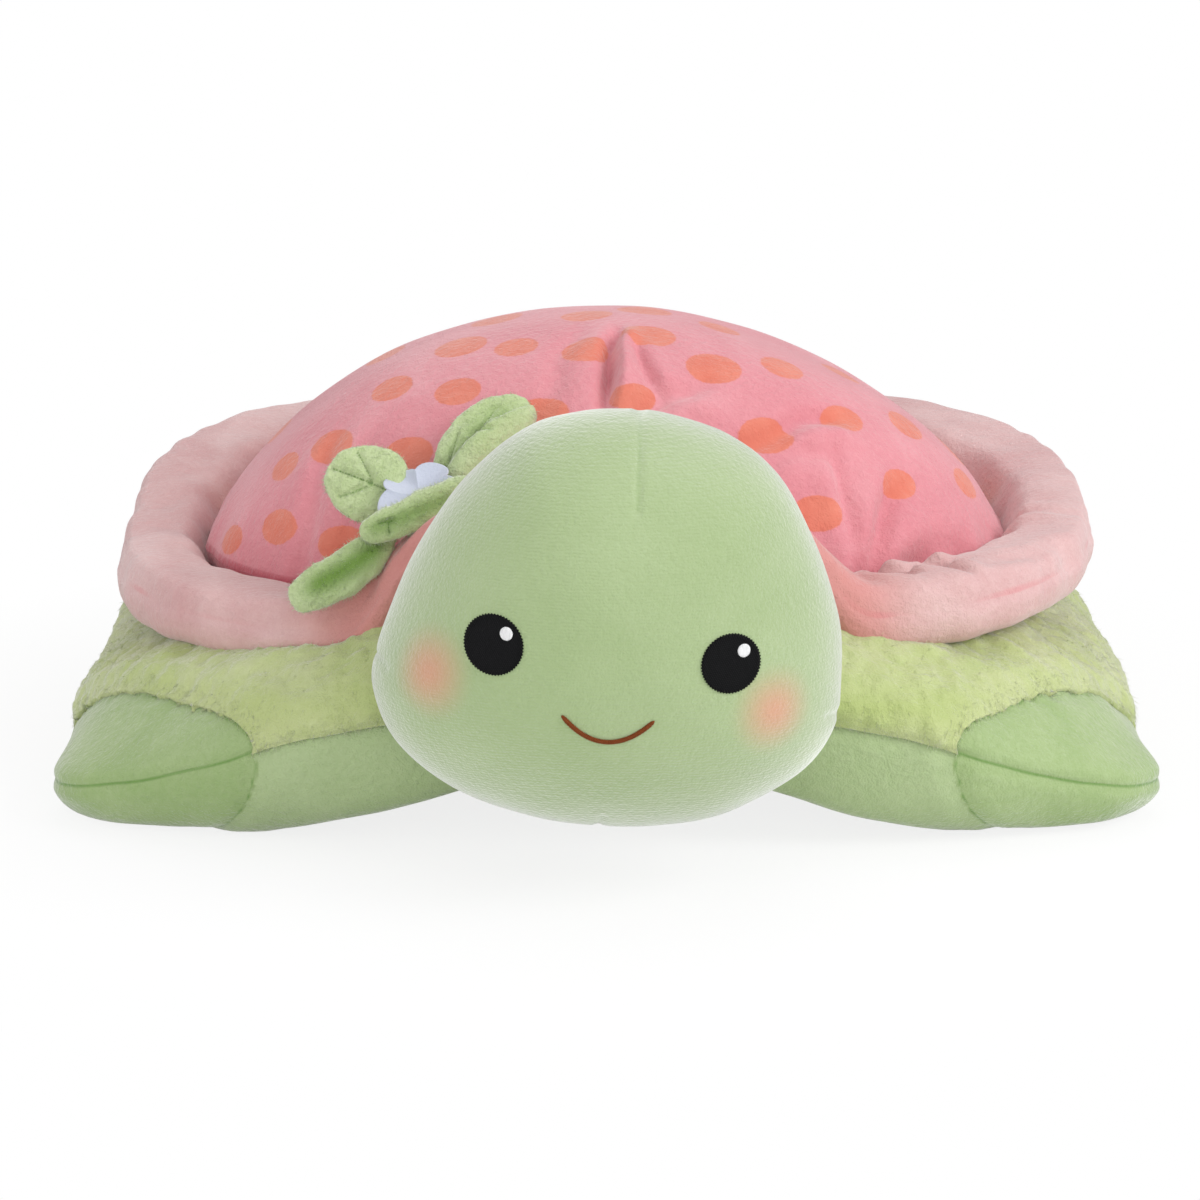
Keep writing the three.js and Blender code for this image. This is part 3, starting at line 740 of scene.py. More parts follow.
body_parts = []
for name, low_x, high_x, joint_body in (
    ("spine", -fold_x, fold_x, "root"), ("left", fold_x, 1, "left_half"), ("right", -1, -fold_x, "right_half"),
):
    span = lambda middles, low=low_x, high=high_x: (middles[:, 0] > low) & (middles[:, 0] < high)
    top = part_of(body, f"{name}_fur_top", lambda m, side, span=span: span(m) & (side > 0) & ~in_corner(m))
    base = part_of(body, f"{name}_belly_panel", lambda m, side, span=span: span(m) & (side < 0) & ~in_corner(m))
    furred(top, 4.5 * mm, 1500 if joint_body == "root" else 9000, 3.2 * mm, 3 + len(name))
    top.data.materials.append(lime_fur)
    base.data.materials.append(pale_belly)
    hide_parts(f"{name}_top_cover", f"{name}_fill")
    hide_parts(f"{name}_bottom_cover")
    body_parts += [(top, joint_body), (base, joint_body)]
for name, sign_x in (("left", 1), ("right", -1)):
    for end, sign_y in (("front", -1), ("rear", 1)):
        foot = part_of(body, f"{name}_{end}_foot", lambda m, side, sx=sign_x, sy=sign_y: (
            in_corner(m) & (m[:, 0] * sx > 0) & ((m[:, 1] - pillow_middle) * sy > 0)
        ))
        foot.data.materials.append(foot_green)
        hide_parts(f"{name}_{end}_foot_upper", f"{name}_{end}_foot_lower")
        body_parts.append((foot, f"{name}_half"))
for part, part_body in body_parts:
    if part_body == "root" or part.name.endswith("foot"):
        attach(part, part_body)
    else:
        sign = 1 if part_body == "left_half" else -1
        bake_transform(part, "root", part_body, start=(sign * fold_x, 0, 0.1), end=(sign * 2 * fold_x, 0, 0.1))
bpy.data.objects.remove(body)


# ---- Brim ----
# A padded ring of pale pink plush, sewn to the shell's edge. It puffs up outside the seam into a
# thick round lip, lower at the front, and it lifts over the neck.
shell_half_width = 154 * mm
shell_half_length = 112 * mm
shell_forward = -5 * mm
shell_power = 2.4
shell_base = 77 * mm


def oval(half_x, half_y, power, count):
    """A rounded oval in plan, as points at even angles."""
    angle = np.linspace(0, 2 * math.pi, count, endpoint=False)
    c, s = np.cos(angle), np.sin(angle)
    return np.stack([
        half_x * np.sign(c) * np.abs(c) ** (2 / power), half_y * np.sign(s) * np.abs(s) ** (2 / power),
    ], 1)


def even_oval(half_x, half_y, power, count):
    """The same oval, as evenly spaced points."""
    return even_loop(oval(half_x, half_y, power, 48), count)


brim_count = 320
brim_edge = even_oval(brim_half_width, brim_half_length, brim_power, brim_count)


def toward_shell(edge, inset):
    """The point of the shell's edge, less an inset, that a point of the brim's edge looks in to."""
    share = oval_share(
        edge[:, 0], edge[:, 1] - shell_forward, shell_half_width - inset, shell_half_length - inset, shell_power,
    )
    middle = np.array([0, shell_forward])
    return middle + (edge - middle) / share[:, None]


brim_seam = toward_shell(brim_edge, 3 * mm)
# across the ring, from the shell's seam over the lip and back under: share outward, share of thickness
lip_start, top_steps, lip_steps, under_steps = 0.8, 14, 12, 10
brim_section = [(0.0, -0.18)]
for step in range(1, top_steps + 1):
    out = lip_start * step / top_steps
    dip = 0.62 * math.exp(-((out / 0.2) ** 2))
    brim_section.append((out, 0.5 - dip - 0.05 * math.exp(-(((out - 0.45) / 0.2) ** 2))))
for step in range(1, lip_steps):
    turn = math.pi / 2 - math.pi * step / lip_steps
    brim_section.append((lip_start + 0.2 * math.cos(turn), 0.5 * math.sin(turn)))
for step in range(under_steps + 1):
    out = lip_start * (1 - step / under_steps)
    brim_section.append((out, -0.5 + 0.18 * (1 - out)))
rings = []
for out, level in brim_section:
    plan = brim_seam + (brim_edge - brim_seam) * out
    crest = brim_crest(plan[:, 0], plan[:, 1])
    rings.append(np.stack([plan[:, 0], plan[:, 1] + pillow_middle, crest - brim_thick / 2 + level * brim_thick], 1))
brim = skin_of("brim_ring", rings)
lip_row = top_steps + lip_steps // 2  # the ring at the very edge of the lip
brim_side = np.repeat(np.sign(lip_row - np.arange(len(rings))).astype(float), brim_count)
brim_out = np.repeat([out for out, level in brim_section], brim_count)
brim_width = 38
seam_away = np.where(brim_side > 0, brim_out * brim_width * mm, 1.0)
stuff(brim, (brim_out < 0.06) | (brim_side < 0), 1.6, 4 * mm)
sewn_in(brim, seam_away, 1.5 * mm, 6 * mm, 2.4 * mm, 14 * mm, 1.0)
lip_away = np.abs(brim_out - 1) * brim_width * mm + np.where(brim_side > 0, 0, 3 * mm)
sewn_in(brim, lip_away, 1.2 * mm, 3 * mm, 1.3 * mm, 12 * mm, 4.0)
points, normal = spots(brim), outward(brim)
pinched = creased(points, [
    ((94, -103), (106, -115), 5.0, 2.4, 2.6), ((107, -111), (121, -107), 4.4, 2.8, 2.4),
    ((119, -106), (127, -115), 3.0, 2.2, 1.8), ((86, -110), (92, -122), 2.0, 3.0, 1.2),
    ((150, -100), (168, -84), 1.8, 4.0, 1.2), ((172, -40), (158, -34), 1.8, 4.0, 1.0),
    ((-118, -130), (-90, -139), 1.6, 3.0, 0.8), ((-92, -139), (-72, -140), 1.4, 2.6, 0.8),
]) * np.clip(brim_side, 0, 1)
swell = grain(points, 14, 1.5) * 2.6 * mm + grain(points, 40, 6.0) * 1.1 * mm
place(brim, points + normal * (swell - pinched)[:, None])
give(brim, "side", brim_side)
give(brim, "seam_mm", np.minimum(seam_away, lip_away) / mm + 1.6 * np.abs(grain(points, 1 / (45 * mm), 8.0)))
# how near a point is to the neck, where a deeper pink of painted shade and reflected light goes on the plush
at_neck = eased(np.abs(points[:, 0]), 118 * mm, 84 * mm)
give(brim, "tip", at_neck * eased(points[:, 1] - pillow_middle, -100 * mm, -128 * mm))
finer(brim, len(rings), brim_count)


def painted_neck_shade(material, where, tint):
    """Painted shade and reflected light: the plush is painted a deeper pink beside the neck, in the fold where brim and
    neck meet.
    """
    return mixed(material, reckon(material, "MULTIPLY", read_number(material, "tip"), 0.7), tint, linear(214, 134, 128))


# the seam colour is shade painted into the grooves of the seams
pale_pink = plush(
    "pale_pink_plush", linear(215, 175, 174), linear(230, 198, 196), linear(200, 148, 149),
    patch=0.6, tuft=0.35, fibre=0.4, sheen=0.5, seam_shade_colour=linear(214, 120, 126), seam_shade_share=0.45, finish=painted_neck_shade,
)
brim.data.materials.append(pale_pink)


def split_at_middle(whole, names):
    """Cuts a skin lengthwise into its left and right parts."""
    cut_along(whole, [((0, 0, 0), (1, 0, 0))])
    parts = [
        part_of(whole, name, lambda m, side, sign=sign: m[:, 0] * sign > 0) for name, sign in zip(names, (1, -1))
    ]
    bpy.data.objects.remove(whole)
    return parts


def bends_with_halves(parts, start, end):
    """Left and right parts follow the spine near the middle and the folding halves further out."""
    for part, sign, half in zip(parts, (1, -1), ("left_half", "right_half")):
        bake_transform(part, "root", half, start=(sign * start, 0, 0.1), end=(sign * end, 0, 0.1))


brim_parts = split_at_middle(brim, ("brim_left", "brim_right"))
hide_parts("brim_top_cover", "brim_fill")
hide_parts("brim_under_cover")
bends_with_halves(brim_parts, 30 * mm, 120 * mm)


# ---- Shell ----
# A high dome of smooth pink plush printed with round coral dots, gathered into the brim seam.
# A pleat above the head takes up its fullness, and soft wrinkles run out from it.
shell_rise = 90 * mm
shell_count = 360
shell_shares = np.sin(np.linspace(0.03, math.pi / 2, 60)) ** 0.92
shell_outline = even_oval(shell_half_width, shell_half_length, shell_power, shell_count)


def shell_edge_height(x, y):
    """Height of the seam between shell and brim: it climbs with the brim."""
    return shell_base + (0.02 * x + 0.02 * y) + head_push(x, y)


def shell_height(share, x, y):
    """Height of the dome, fuller in front; where the head pushes its edge up, the cloth runs level before it climbs."""
    ahead = np.maximum(0, shell_forward - y) / shell_half_length
    share = share ** (1 + 0.35 * ahead ** 2 / (ahead ** 2 + (x / shell_half_width) ** 2 + 1e-6))
    dome = shell_base + shell_rise * (1 - share ** 2.05) ** 0.72
    return -lesser(-dome, -shell_edge_height(x, y) - 4 * mm * (1 - share), 6 * mm)


rings = []
# the edge tucks in under the brim before the dome starts: share outward, share of the rise, drop
tucked = [(0.94, 1, 14 * mm), (0.975, 1, 9 * mm), (0.992, 1, 5 * mm)]
for out, share, drop in tucked + [(share, share, 0) for share in shell_shares[::-1]]:
    plan = shell_outline * out + [0, shell_forward]
    rings.append(np.column_stack([plan, shell_height(share, *plan.T) - drop]) + [0, pillow_middle, 0])
shell = skin_of("shell_dome", rings, last=(0, shell_forward + pillow_middle, shell_height(0, 0, 0)))


def on_shell_share(x, y):
    """How far out on the shell a point of the plan lies."""
    return oval_share(x, y - shell_forward, shell_half_width, shell_half_length, shell_power)


points = spots(shell)
plan_x, plan_y = points[:, 0], points[:, 1] - pillow_middle
above_rim = np.maximum(0, points[:, 2] - shell_height(1, plan_x, plan_y) - 3 * mm)
rim_away = (1 - on_shell_share(plan_x, plan_y)) * 130 * mm + above_rim
pleat_x, pleat_y, pleat_half = 1 * mm, -60 * mm, 13 * mm
pleat_away = np.hypot(plan_x - pleat_x, np.maximum(0, np.abs(plan_y - pleat_y) - pleat_half))
stuff(shell, (rim_away < 4 * mm) | (pleat_away < 3 * mm), 1.8, 5 * mm)
points, normal = spots(shell), outward(shell)
# the pleat first, then the wrinkles that run out from it and from the brim
sunk = creased(points, [
    ((2.5, -48), (1, -70), 5.2, 2.8, 3.4), ((1, -66), (-1, -84), 3.0, 3.0, 1.5),
    ((12, -58), (17, -70), 2.0, 2.6, 1.6), ((28, -74), (14, -83), 3.4, 3.6, 2.2),
    ((80, -66), (48, -91), 4.0, 3.2, 2.8), ((74, -82), (57, -92), 2.8, 3.0, 1.8),
    ((44, -88), (30, -85), 1.3, 4.0, 0.8), ((94, -101), (104, -82), 4.0, 2.8, 2.2),
    ((98, -103), (121, -84), 3.6, 2.8, 2.0), ((90, -101), (86, -84), 2.0, 3.0, 1.2),
    ((106, -97), (130, -72), 2.2, 3.2, 1.2), ((-112, -88), (-104, -70), 1.8, 4.0, 1.0),
    ((-96, -97), (-90, -80), 1.6, 4.0, 1.0), ((-14, -48), (-20, -70), 1.5, 5.0, 1.0),
])
gathers = 1.9 * mm * np.exp(-((rim_away / (17 * mm)) ** 2)) * grain(points * [1, 1, 0.2], 1 / (13 * mm), 2.0)
swell = grain(points, 13, 3.0) * 2.4 * mm + grain(points, 34, 9.0) * 0.7 * mm
place(shell, points + normal * (gathers + swell - sunk)[:, None])
give(shell, "side", np.ones(len(points)))
give(shell, "seam_mm", rim_away / mm)
finer(shell, len(rings), shell_count)

# the dots of the front, as places in plan from the pillow's middle
dot_places = [
    (-7, -18), (15, -6), (44, -16), (16, -44), (-7, -54), (-34, -45), (-55, -33), (-80, -49), (-55, -66),
    (-101, -63), (-120, -52), (-72, -83), (-121, -74), (-141, -54), (-96, -94), (-23, -82), (10, -78), (40, -60),
    (66, -46), (91, -12), (59, -82), (88, -61), (112, -37), (77, -96), (108, -72), (132, -10), (135, -37), (17, 14),
]
dot_radius = 9.2 * mm
dot_pitch, dot_row_pitch, dot_gap = 42, 27, 31
# the same print goes on over the hidden side, in staggered rows
for row in range(-4, 5):
    for step in range(-4, 5):
        spot = ((step + 0.5 * (row % 2)) * dot_pitch, row * dot_row_pitch)
        if all(math.dist(spot, other) > dot_gap for other in dot_places):
            dot_places.append(spot)

points = spots(shell)
dot_edge = np.full(len(points), 1.0)
for number, (x, y) in enumerate(dot_places):
    x, y = x * mm, y * mm
    share = on_shell_share(x, y)
    if share > 0.985:
        continue
    centre = np.array([x, y + pillow_middle, float(shell_height(share, x, y))])
    reach = dot_radius * (1 + 0.1 * math.sin(number * 2.3))
    # a dot is round on the level cloth, and shorter where the cloth runs down
    dot_edge = np.minimum(dot_edge, np.linalg.norm((points - centre) * [0.93, 1, 1.5], axis=1) - reach)
give(shell, "dot_mm", dot_edge / mm)


def printed_dots(material, where, tint):
    """Coral dots with the soft edge of a print on plush."""
    ragged = speckle(material, where, 700.0, 2.0)
    edge = reckon(material, "MULTIPLY_ADD", ragged, 1.1, read_number(material, "dot_mm"))
    coral = mixed(material, speckle(material, where, 90.0, 3.0), linear(215, 110, 91), linear(230, 142, 122))
    return mixed(material, ranged(material, edge, 0.2, 0.9, 1.0, 0.0), tint, coral)


# the seam colour is shade painted where the dome tucks in under the brim
pink_shell = plush(
    "pink_shell_plush", linear(222, 144, 153), linear(233, 170, 177), linear(206, 120, 131),
    patch=0.45, tuft=0.28, fibre=0.3, sheen=0.45, sheen_spread=0.45, seam_shade_colour=linear(190, 88, 102),
    finish=printed_dots,
)
shell.data.materials.append(pink_shell)
shell_parts = split_at_middle(shell, ("shell_left", "shell_right"))
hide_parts("shell_cover")
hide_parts("shell_fill")
bends_with_halves(shell_parts, 30 * mm, 120 * mm)


# ---- Neck ----
# A short stuffed tube of the head's plush joins the head to the cushion, out of sight behind
# the face. The head turns and nods on it.
neck_low, neck_high = (Vector(corner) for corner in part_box("neck_cover"))
neck_middle = (neck_low + neck_high) / 2
neck_radius = (neck_high.x - neck_low.x) / 2
neck_rows, neck_count = 32, 72
rings = []
for step in range(1, neck_rows):
    turn = math.pi * step / neck_rows
    ring = oval(neck_radius * math.sin(turn), neck_radius * math.sin(turn), 2, neck_count)
    rings.append(np.column_stack([ring, np.full(neck_count, -neck_radius * math.cos(turn))]) + np.array(neck_middle))
neck = skin_of("neck_tube", rings)
points, normal = spots(neck), outward(neck)
place(neck, points + normal * (grain(points, 60, 1.0) * 0.6 * mm - 0.6 * mm)[:, None])
give(neck, "seam_mm", np.abs(points[:, 0]) / mm + np.where(points[:, 1] > neck_middle.y, 0, 50))
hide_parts("neck_cover", "neck_fill")
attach(neck, "neck")


# ---- Head ----
# A broad egg of short pale green plush, sewn from a face and a back. A dart at the crown and one
# at each cheek shape it, and coral blush is brushed on both cheeks.
head_half_width = 80 * mm
head_half_height = 70.5 * mm
head_half_depth = 53 * mm
head_centre = np.array([2 * mm, -206 * mm + pillow_middle, 96 * mm])
head_roll = math.radians(4)
# across and up from the middle: the turtle's left side of the brow is fuller than its right
head_left_shares = [
    (0, 1), (0.4, 0.92), (0.63, 0.76), (0.8, 0.46), (0.95, 0.08), (0.985, -0.22), (0.965, -0.46), (0.84, -0.68),
    (0.56, -0.89), (0.28, -0.98), (0, -1),
]
head_right_shares = [
    (0, 1), (0.34, 0.93), (0.555, 0.76), (0.765, 0.44), (0.9, 0.06), (0.97, -0.22), (0.975, -0.42), (0.86, -0.67),
    (0.6, -0.88), (0.3, -0.98), (0, -1),
]
head_loop = head_left_shares[::-1] + [(-x, z) for x, z in head_right_shares[1:-1]]
head_count = 260
head_outline = even_loop([(x * head_half_width, z * head_half_height) for x, z in head_loop], head_count)
head_angles = np.arctan2(head_outline[:, 1], head_outline[:, 0])
head_order = np.argsort(head_angles)
head_reach = np.linalg.norm(head_outline, axis=1)


def head_share(x, z):
    """How far out a point of the face lies, from 0 at its middle to 1 on the head's outline."""
    reach = np.interp(np.arctan2(z, x), head_angles[head_order], head_reach[head_order], period=2 * math.pi)
    return np.hypot(x, z) / reach


def face_depth(x, z):
    """How far the face stands forward of the head's middle."""
    return head_half_depth * np.sqrt(np.clip(1 - head_share(x, z) ** 2.2, 0, 1))


def on_head(x, z, forward):
    """A point of the head's own upright frame, rolled a little, in the turtle's place."""
    c, s = math.cos(head_roll), math.sin(head_roll)
    x, z, forward = (np.asarray(v, float) for v in (x, z, forward))
    return np.stack([x * c + z * s, -forward + 0 * x, -x * s + z * c], -1) + head_centre


def off_head(points):
    """The same frame the other way: across, up and forward on the head."""
    c, s = math.cos(head_roll), math.sin(head_roll)
    x, y, z = (points - head_centre).T
    return x * c - z * s, x * s + z * c, -y


head_shares = np.sin(np.linspace(0.03, math.pi / 2, 46)) ** 0.95
rings = [on_head(*(head_outline * s).T, -head_half_depth * math.sqrt(1 - min(1, s) ** 2.2)) for s in head_shares]
rings += [on_head(*(head_outline * s).T, head_half_depth * math.sqrt(1 - s ** 2.2)) for s in head_shares[:-1][::-1]]
head = skin_of("head", rings, on_head(0, 0, -head_half_depth), on_head(0, 0, head_half_depth))


def to_line(x, z, start, end):
    """In a plane, the distance to a straight line and how far along it that is, from 0 to 1."""
    run = end - start
    t = np.clip(((x - start[0]) * run[0] + (z - start[1]) * run[1]) / (run @ run), 0, 1)
    return np.hypot(x - start[0] - t * run[0], z - start[1] - t * run[1]), t


def head_seams(points):
    """Distances to the seam round the head and to the nearest dart."""
    x, z, forward = off_head(points)
    edge = np.abs(forward + 12 * mm)
    front = np.where(forward > -11 * mm, 0, 1)
    darts = np.full(len(points), 1.0)
    for start, end in (
        ((4, 75), (5, 46)), ((-80, -17), (-74, -17)), ((80, -27), (74, -24)), ((0, -72), (1, -62)),
    ):
        darts = np.minimum(darts, to_line(x, z, np.array(start) * mm, np.array(end) * mm)[0] + front)
    return edge, darts


edge, darts = head_seams(spots(head))
stuff(head, (edge < 2 * mm) | (darts < 2 * mm), 1.2, 2 * mm)
sewn_in(head, edge, 1.6 * mm, 3 * mm, 0.9 * mm, 12 * mm, 2.0)
sewn_in(head, darts, 0.8 * mm, 1.3 * mm, 0.3 * mm, 9 * mm, 1.0)
points, normal = spots(head), outward(head)
place(head, points + normal * (grain(points, 18, 4.0) * 1.2 * mm + grain(points, 50, 8.0) * 0.35 * mm)[:, None])
give(head, "side", np.ones(len(points)))
finer(head, len(rings), head_count)
edge, darts = head_seams(spots(head))
give(head, "seam_mm", np.minimum(edge, darts) / mm)

blush_spots = [(-59 * mm, -13 * mm, 11 * mm), (54.5 * mm, -17.5 * mm, 10.5 * mm)]


def blush(material, where, tint):
    """Coral blush, airbrushed on the plush of both cheeks."""
    for x, z, radius in blush_spots:
        middle = on_head(x, z, face_depth(x, z))
        away = node(material, "VectorMath", {0: where, 1: tuple(middle)}, operation="DISTANCE").outputs["Value"]
        strength = ranged(material, away, 0.0, radius * 1.7, 0.62, 0.0, interpolation_type="SMOOTHSTEP")
        tint = mixed(material, strength, tint, linear(226, 134, 118))
    return tint


# the seam colour is shade painted into the grooves of the seam and the darts
head_green = plush(
    "head_plush", linear(160, 179, 131), linear(176, 193, 150), linear(143, 166, 111),
    patch=0.3, tuft=0.25, fibre=0.35, pile=0.4, sheen=1.25, sheen_spread=0.5, tuft_size=1.6,
    seam_shade_colour=linear(140, 165, 110), seam_shade_share=0.35, ribs=0.03, finish=blush,
)
head.data.materials.append(head_green)
neck.data.materials.append(head_green)
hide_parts("head_front_cover", "head_back_cover", "head_fill")
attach(head, "head")


# ---- Face embroidery ----
# The eyes are filled with upright satin stitches of black thread inside a raised border, with a
# white glint sewn over them. The smile is one narrow band of brown satin stitch.
def thread(name, colour, light, pitch, lean=0.0):
    """Satin stitch: fine parallel threads with a soft gloss."""
    material = cleared(bpy.data.materials.new(name))
    where = node(material, "TexCoord").outputs["Object"]
    turned = node(material, "Mapping", {"Vector": where, "Rotation": (0, lean, 0)})
    strands = node(material, "TexWave", {
        "Vector": turned.outputs[0], "Scale": 1 / pitch / 3.2, "Distortion": 1.6, "Detail": 2.0, "Detail Scale": 2.0,
    }, bands_direction="X").outputs["Fac"]
    tone = mixed(material, strands, colour, light)
    return surfaced(material, tone, strands, 0.7, 0.4 * mm, {"Roughness": 0.75, "Specular IOR Level": 0.12})


def rays_on(piece):
    """A skin as rays meet it."""
    return BVHTree.FromPolygons(
        [tuple(p) for p in spots(piece)], [tuple(face.vertices) for face in piece.data.polygons],
    )


head_skin = rays_on(head)


def on_face(x, z, height):
    """The points of the finished head that places on the face look straight at, raised by a height."""
    x, z, height = np.broadcast_arrays(x, z, height)
    found = [head_skin.ray_cast(Vector(start), Vector((0, 1, 0)))[0] for start in on_head(x, z, 0.2)]
    return np.array(found) - np.column_stack([0 * height, height, 0 * height])


def stitched_patch(name, x, z, half_x, half_z, lift, rise, border=0.0):
    """A low pad of stitches that follows the face, its outline notched where each stitch turns."""
    teeth = 60
    radial = np.concatenate([np.linspace(0.06, 0.86, 12), [0.9, 0.93, 0.96, 0.985, 1.0]])
    angle = np.linspace(0, 2 * math.pi, 4 * teeth, endpoint=False)
    notch = 1 + 0.022 * np.sin(angle * teeth)
    rings = []
    for share in radial:
        grow = share * np.where(share > 0.9, notch, 1)
        ridge = border * math.exp(-(((share - 0.93) / 0.05) ** 2))
        height = lift + rise * (1 - share ** 8) + ridge * (1 + 0.35 * np.sin(angle * teeth))
        rings.append(on_face(x + np.cos(angle) * half_x * grow, z + np.sin(angle) * half_z * grow, height))
    rings.append(rings[-1] + [0, 1.4 * mm + lift, 0])
    return skin_of(name, rings, on_face([x], [z], lift + rise))


black_thread = thread("black_thread", linear(4, 4, 5), linear(20, 20, 22), 0.6 * mm, 0.5)
white_thread = thread("white_thread", linear(236, 236, 238), linear(255, 255, 255), 0.45 * mm)
brown_thread = thread("brown_thread", linear(104, 50, 22), linear(146, 78, 40), 0.45 * mm, 0.9)
for eye_name, eye_x, eye_z in (("left", 38.5 * mm, -0.7 * mm), ("right", -38.5 * mm, 0.2 * mm)):
    eye = stitched_patch(f"{eye_name}_eye_stitching", eye_x, eye_z, 9.7 * mm, 9.8 * mm, 0.2 * mm, 0.7 * mm, 0.35 * mm)
    eye.data.materials.append(black_thread)
    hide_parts(f"{eye_name}_eye")
    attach(eye, "head")
    glint = stitched_patch(
        f"{eye_name}_glint_stitching", eye_x + 3.9 * mm, eye_z + 4.4 * mm, 2.1 * mm, 2.2 * mm, 0.9 * mm, 0.5 * mm,
    )
    glint.data.materials.append(white_thread)
    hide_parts(f"{eye_name}_glint")
    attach(glint, "head")

smile_half, smile_low, smile_rise = 15 * mm, -28.8 * mm, 8.5 * mm
smile_rows, smile_count = 150, 10
smile_turn = np.linspace(0, 2 * math.pi, smile_count, endpoint=False)
smile_rings = []
for share in np.linspace(-1, 1, smile_rows):
    x, z = share * smile_half, smile_low + smile_rise * share ** 2
    slope = math.atan2(2 * smile_rise * share, smile_half)
    wide = 0.85 * mm * math.sqrt(max(0.06, 1 - abs(share) ** 20)) * (1 + 0.13 * math.sin(share * 120))
    smile_rings.append(on_face(
        x - wide * np.cos(smile_turn) * math.sin(slope), z + wide * np.cos(smile_turn) * math.cos(slope),
        0.25 * mm + 0.8 * wide * np.sin(smile_turn),
    ))
smile_last = (smile_rows - 1) * smile_count
smile_ends = [tuple(range(smile_count))[::-1], tuple(range(smile_last, smile_last + smile_count))]
smile = piece_of("smile_stitching", np.vstack(smile_rings), ring_faces(smile_rows, smile_count) + smile_ends)
smile.data.materials.append(brown_thread)
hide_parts("smile")
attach(smile, "head")


# ---- Tail ----
# A small stuffed cone of foot plush, closed with one seam along its underside and sewn into the
# rear edge seam.
tail_low, tail_high = (Vector(corner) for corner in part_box("tail_cover"))
tail_length = tail_high.y - tail_low.y
tail_radius = (tail_high.x - tail_low.x) / 2
tail_middle = (tail_low.z + tail_high.z) / 2
tail_rows, tail_count, tail_upturn, tail_sunk = 26, 64, 2.5 * mm, 2 * mm
rings = []
for step in range(tail_rows):
    share = math.sin(step / tail_rows * math.pi / 2)
    radius = tail_radius * math.sqrt(1 - share ** 1.8)
    ring = oval(radius, radius, 2, tail_count)
    rings.append(np.column_stack([
        ring[:, 0], np.full(tail_count, tail_low.y - tail_sunk + share * tail_length),
        ring[:, 1] + tail_middle + tail_upturn * share ** 2,
    ]))
tail = skin_of("tail", rings, last=(0, tail_high.y - tail_sunk, tail_middle + tail_upturn))
points = spots(tail)
tail_seam = np.abs(points[:, 0]) + np.where(points[:, 2] > tail_middle, 50 * mm, 0)
sewn_in(tail, tail_seam, 1 * mm, 1.6 * mm, 0.4 * mm, 6 * mm)
points, normal = spots(tail), outward(tail)
place(tail, points + normal * (grain(points, 90, 3.0) * 0.7 * mm)[:, None])
give(tail, "seam_mm", tail_seam / mm)
tail.data.materials.append(foot_green)
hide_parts("tail_cover", "tail_fill")
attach(tail, "tail")


# ---- Sprig ----
# Four leaves of two plush layers with a little stuffing, quilted with stitched veins and brushed
# darker along the middle, sewn round a plush button that carries a scalloped felt flower.
sprig_middle = (-64 * mm, -124 * mm + pillow_middle)
sprig_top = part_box("sprig_base")[1][2]
sprig_radius = 13 * mm


def brushed_middle(material, where, tint):
    """The darker green that is brushed along a leaf's middle, and its stitched veins."""
    tint = mixed(material, read_number(material, "brushed"), tint, linear(118, 150, 74))
    near_vein = ranged(material, read_number(material, "vein_mm"), 0.1, 0.5, 0.85, 0.0)
    shown = reckon(material, "MULTIPLY", near_vein, read_number(material, "stitch"))
    return mixed(material, shown, tint, linear(92, 132, 54))


leaf_green = plush(
    "leaf_plush", linear(194, 209, 160), linear(214, 224, 188), linear(164, 188, 124),
    patch=0.3, tuft=0.4, fibre=0.45, pile=0.7, sheen=0.9, tuft_size=1.8, finish=brushed_middle,
)
leaf_rows, leaf_count = 90, 132
short_veins = [((0.02, 0), (0.94, 0)), ((0.36, 0), (0.74, 0.6)), ((0.36, 0), (0.7, -0.6))]
long_veins = [((0.02, 0), (0.92, 0)), ((0.3, 0), (0.48, 0.5)), ((0.62, 0), (0.8, 0.45)), ((0.5, 0), (0.66, -0.5))]
front_veins = [((0.68, 0), (0.8, 0.1)), ((0.72, 0.05), (0.7, -0.5))]
# node, four places along its middle in plan from the pillow's middle and above the floor, how far
# its upper and lower sides reach from there, thickness, how blunt its root and its tip are, how
# much its lower side swells, its veins from place to place, as shares of its length and half its
# width, and how much of its middle is brushed dark
leaves = [
    ("leaf_rear", [(-60, -111, 117), (-55, -107, 127.5), (-45, -99, 136.5), (-27, -87, 143.5)],
     (-3, 9, 11.5), (7.5, -9, -4), 6.5, 0.32, 0.3, 6, long_veins, 0.45),
    ("leaf_side", [(-74, -115.5, 117.5), (-82, -113.5, 121), (-90.5, -111.5, 124), (-99.5, -109, 127)],
     (6, 6, 11.5), (-5.5, -6, -12), 6.5, 0.28, 0.42, 0, short_veins, 0.15),
    ("leaf_front", [(-47, -129, 123), (-62, -135, 119), (-75, -140, 114.5), (-86, -141.5, 111.5)],
     (0, 0.5, 6.5), (0, -3, -7.5), 7.5, 0.12, 0.3, 0, front_veins, 0.75),
    ("leaf_long", [(-75, -133, 108), (-84, -139, 101.5), (-94, -142.5, 95.5), (-110.5, -143, 86.5)],
     (-2.8, 2.8, 6.8), (2.8, -3.4, -7.4), 8, 0.35, 0.24, 0, [], 1.0),
]
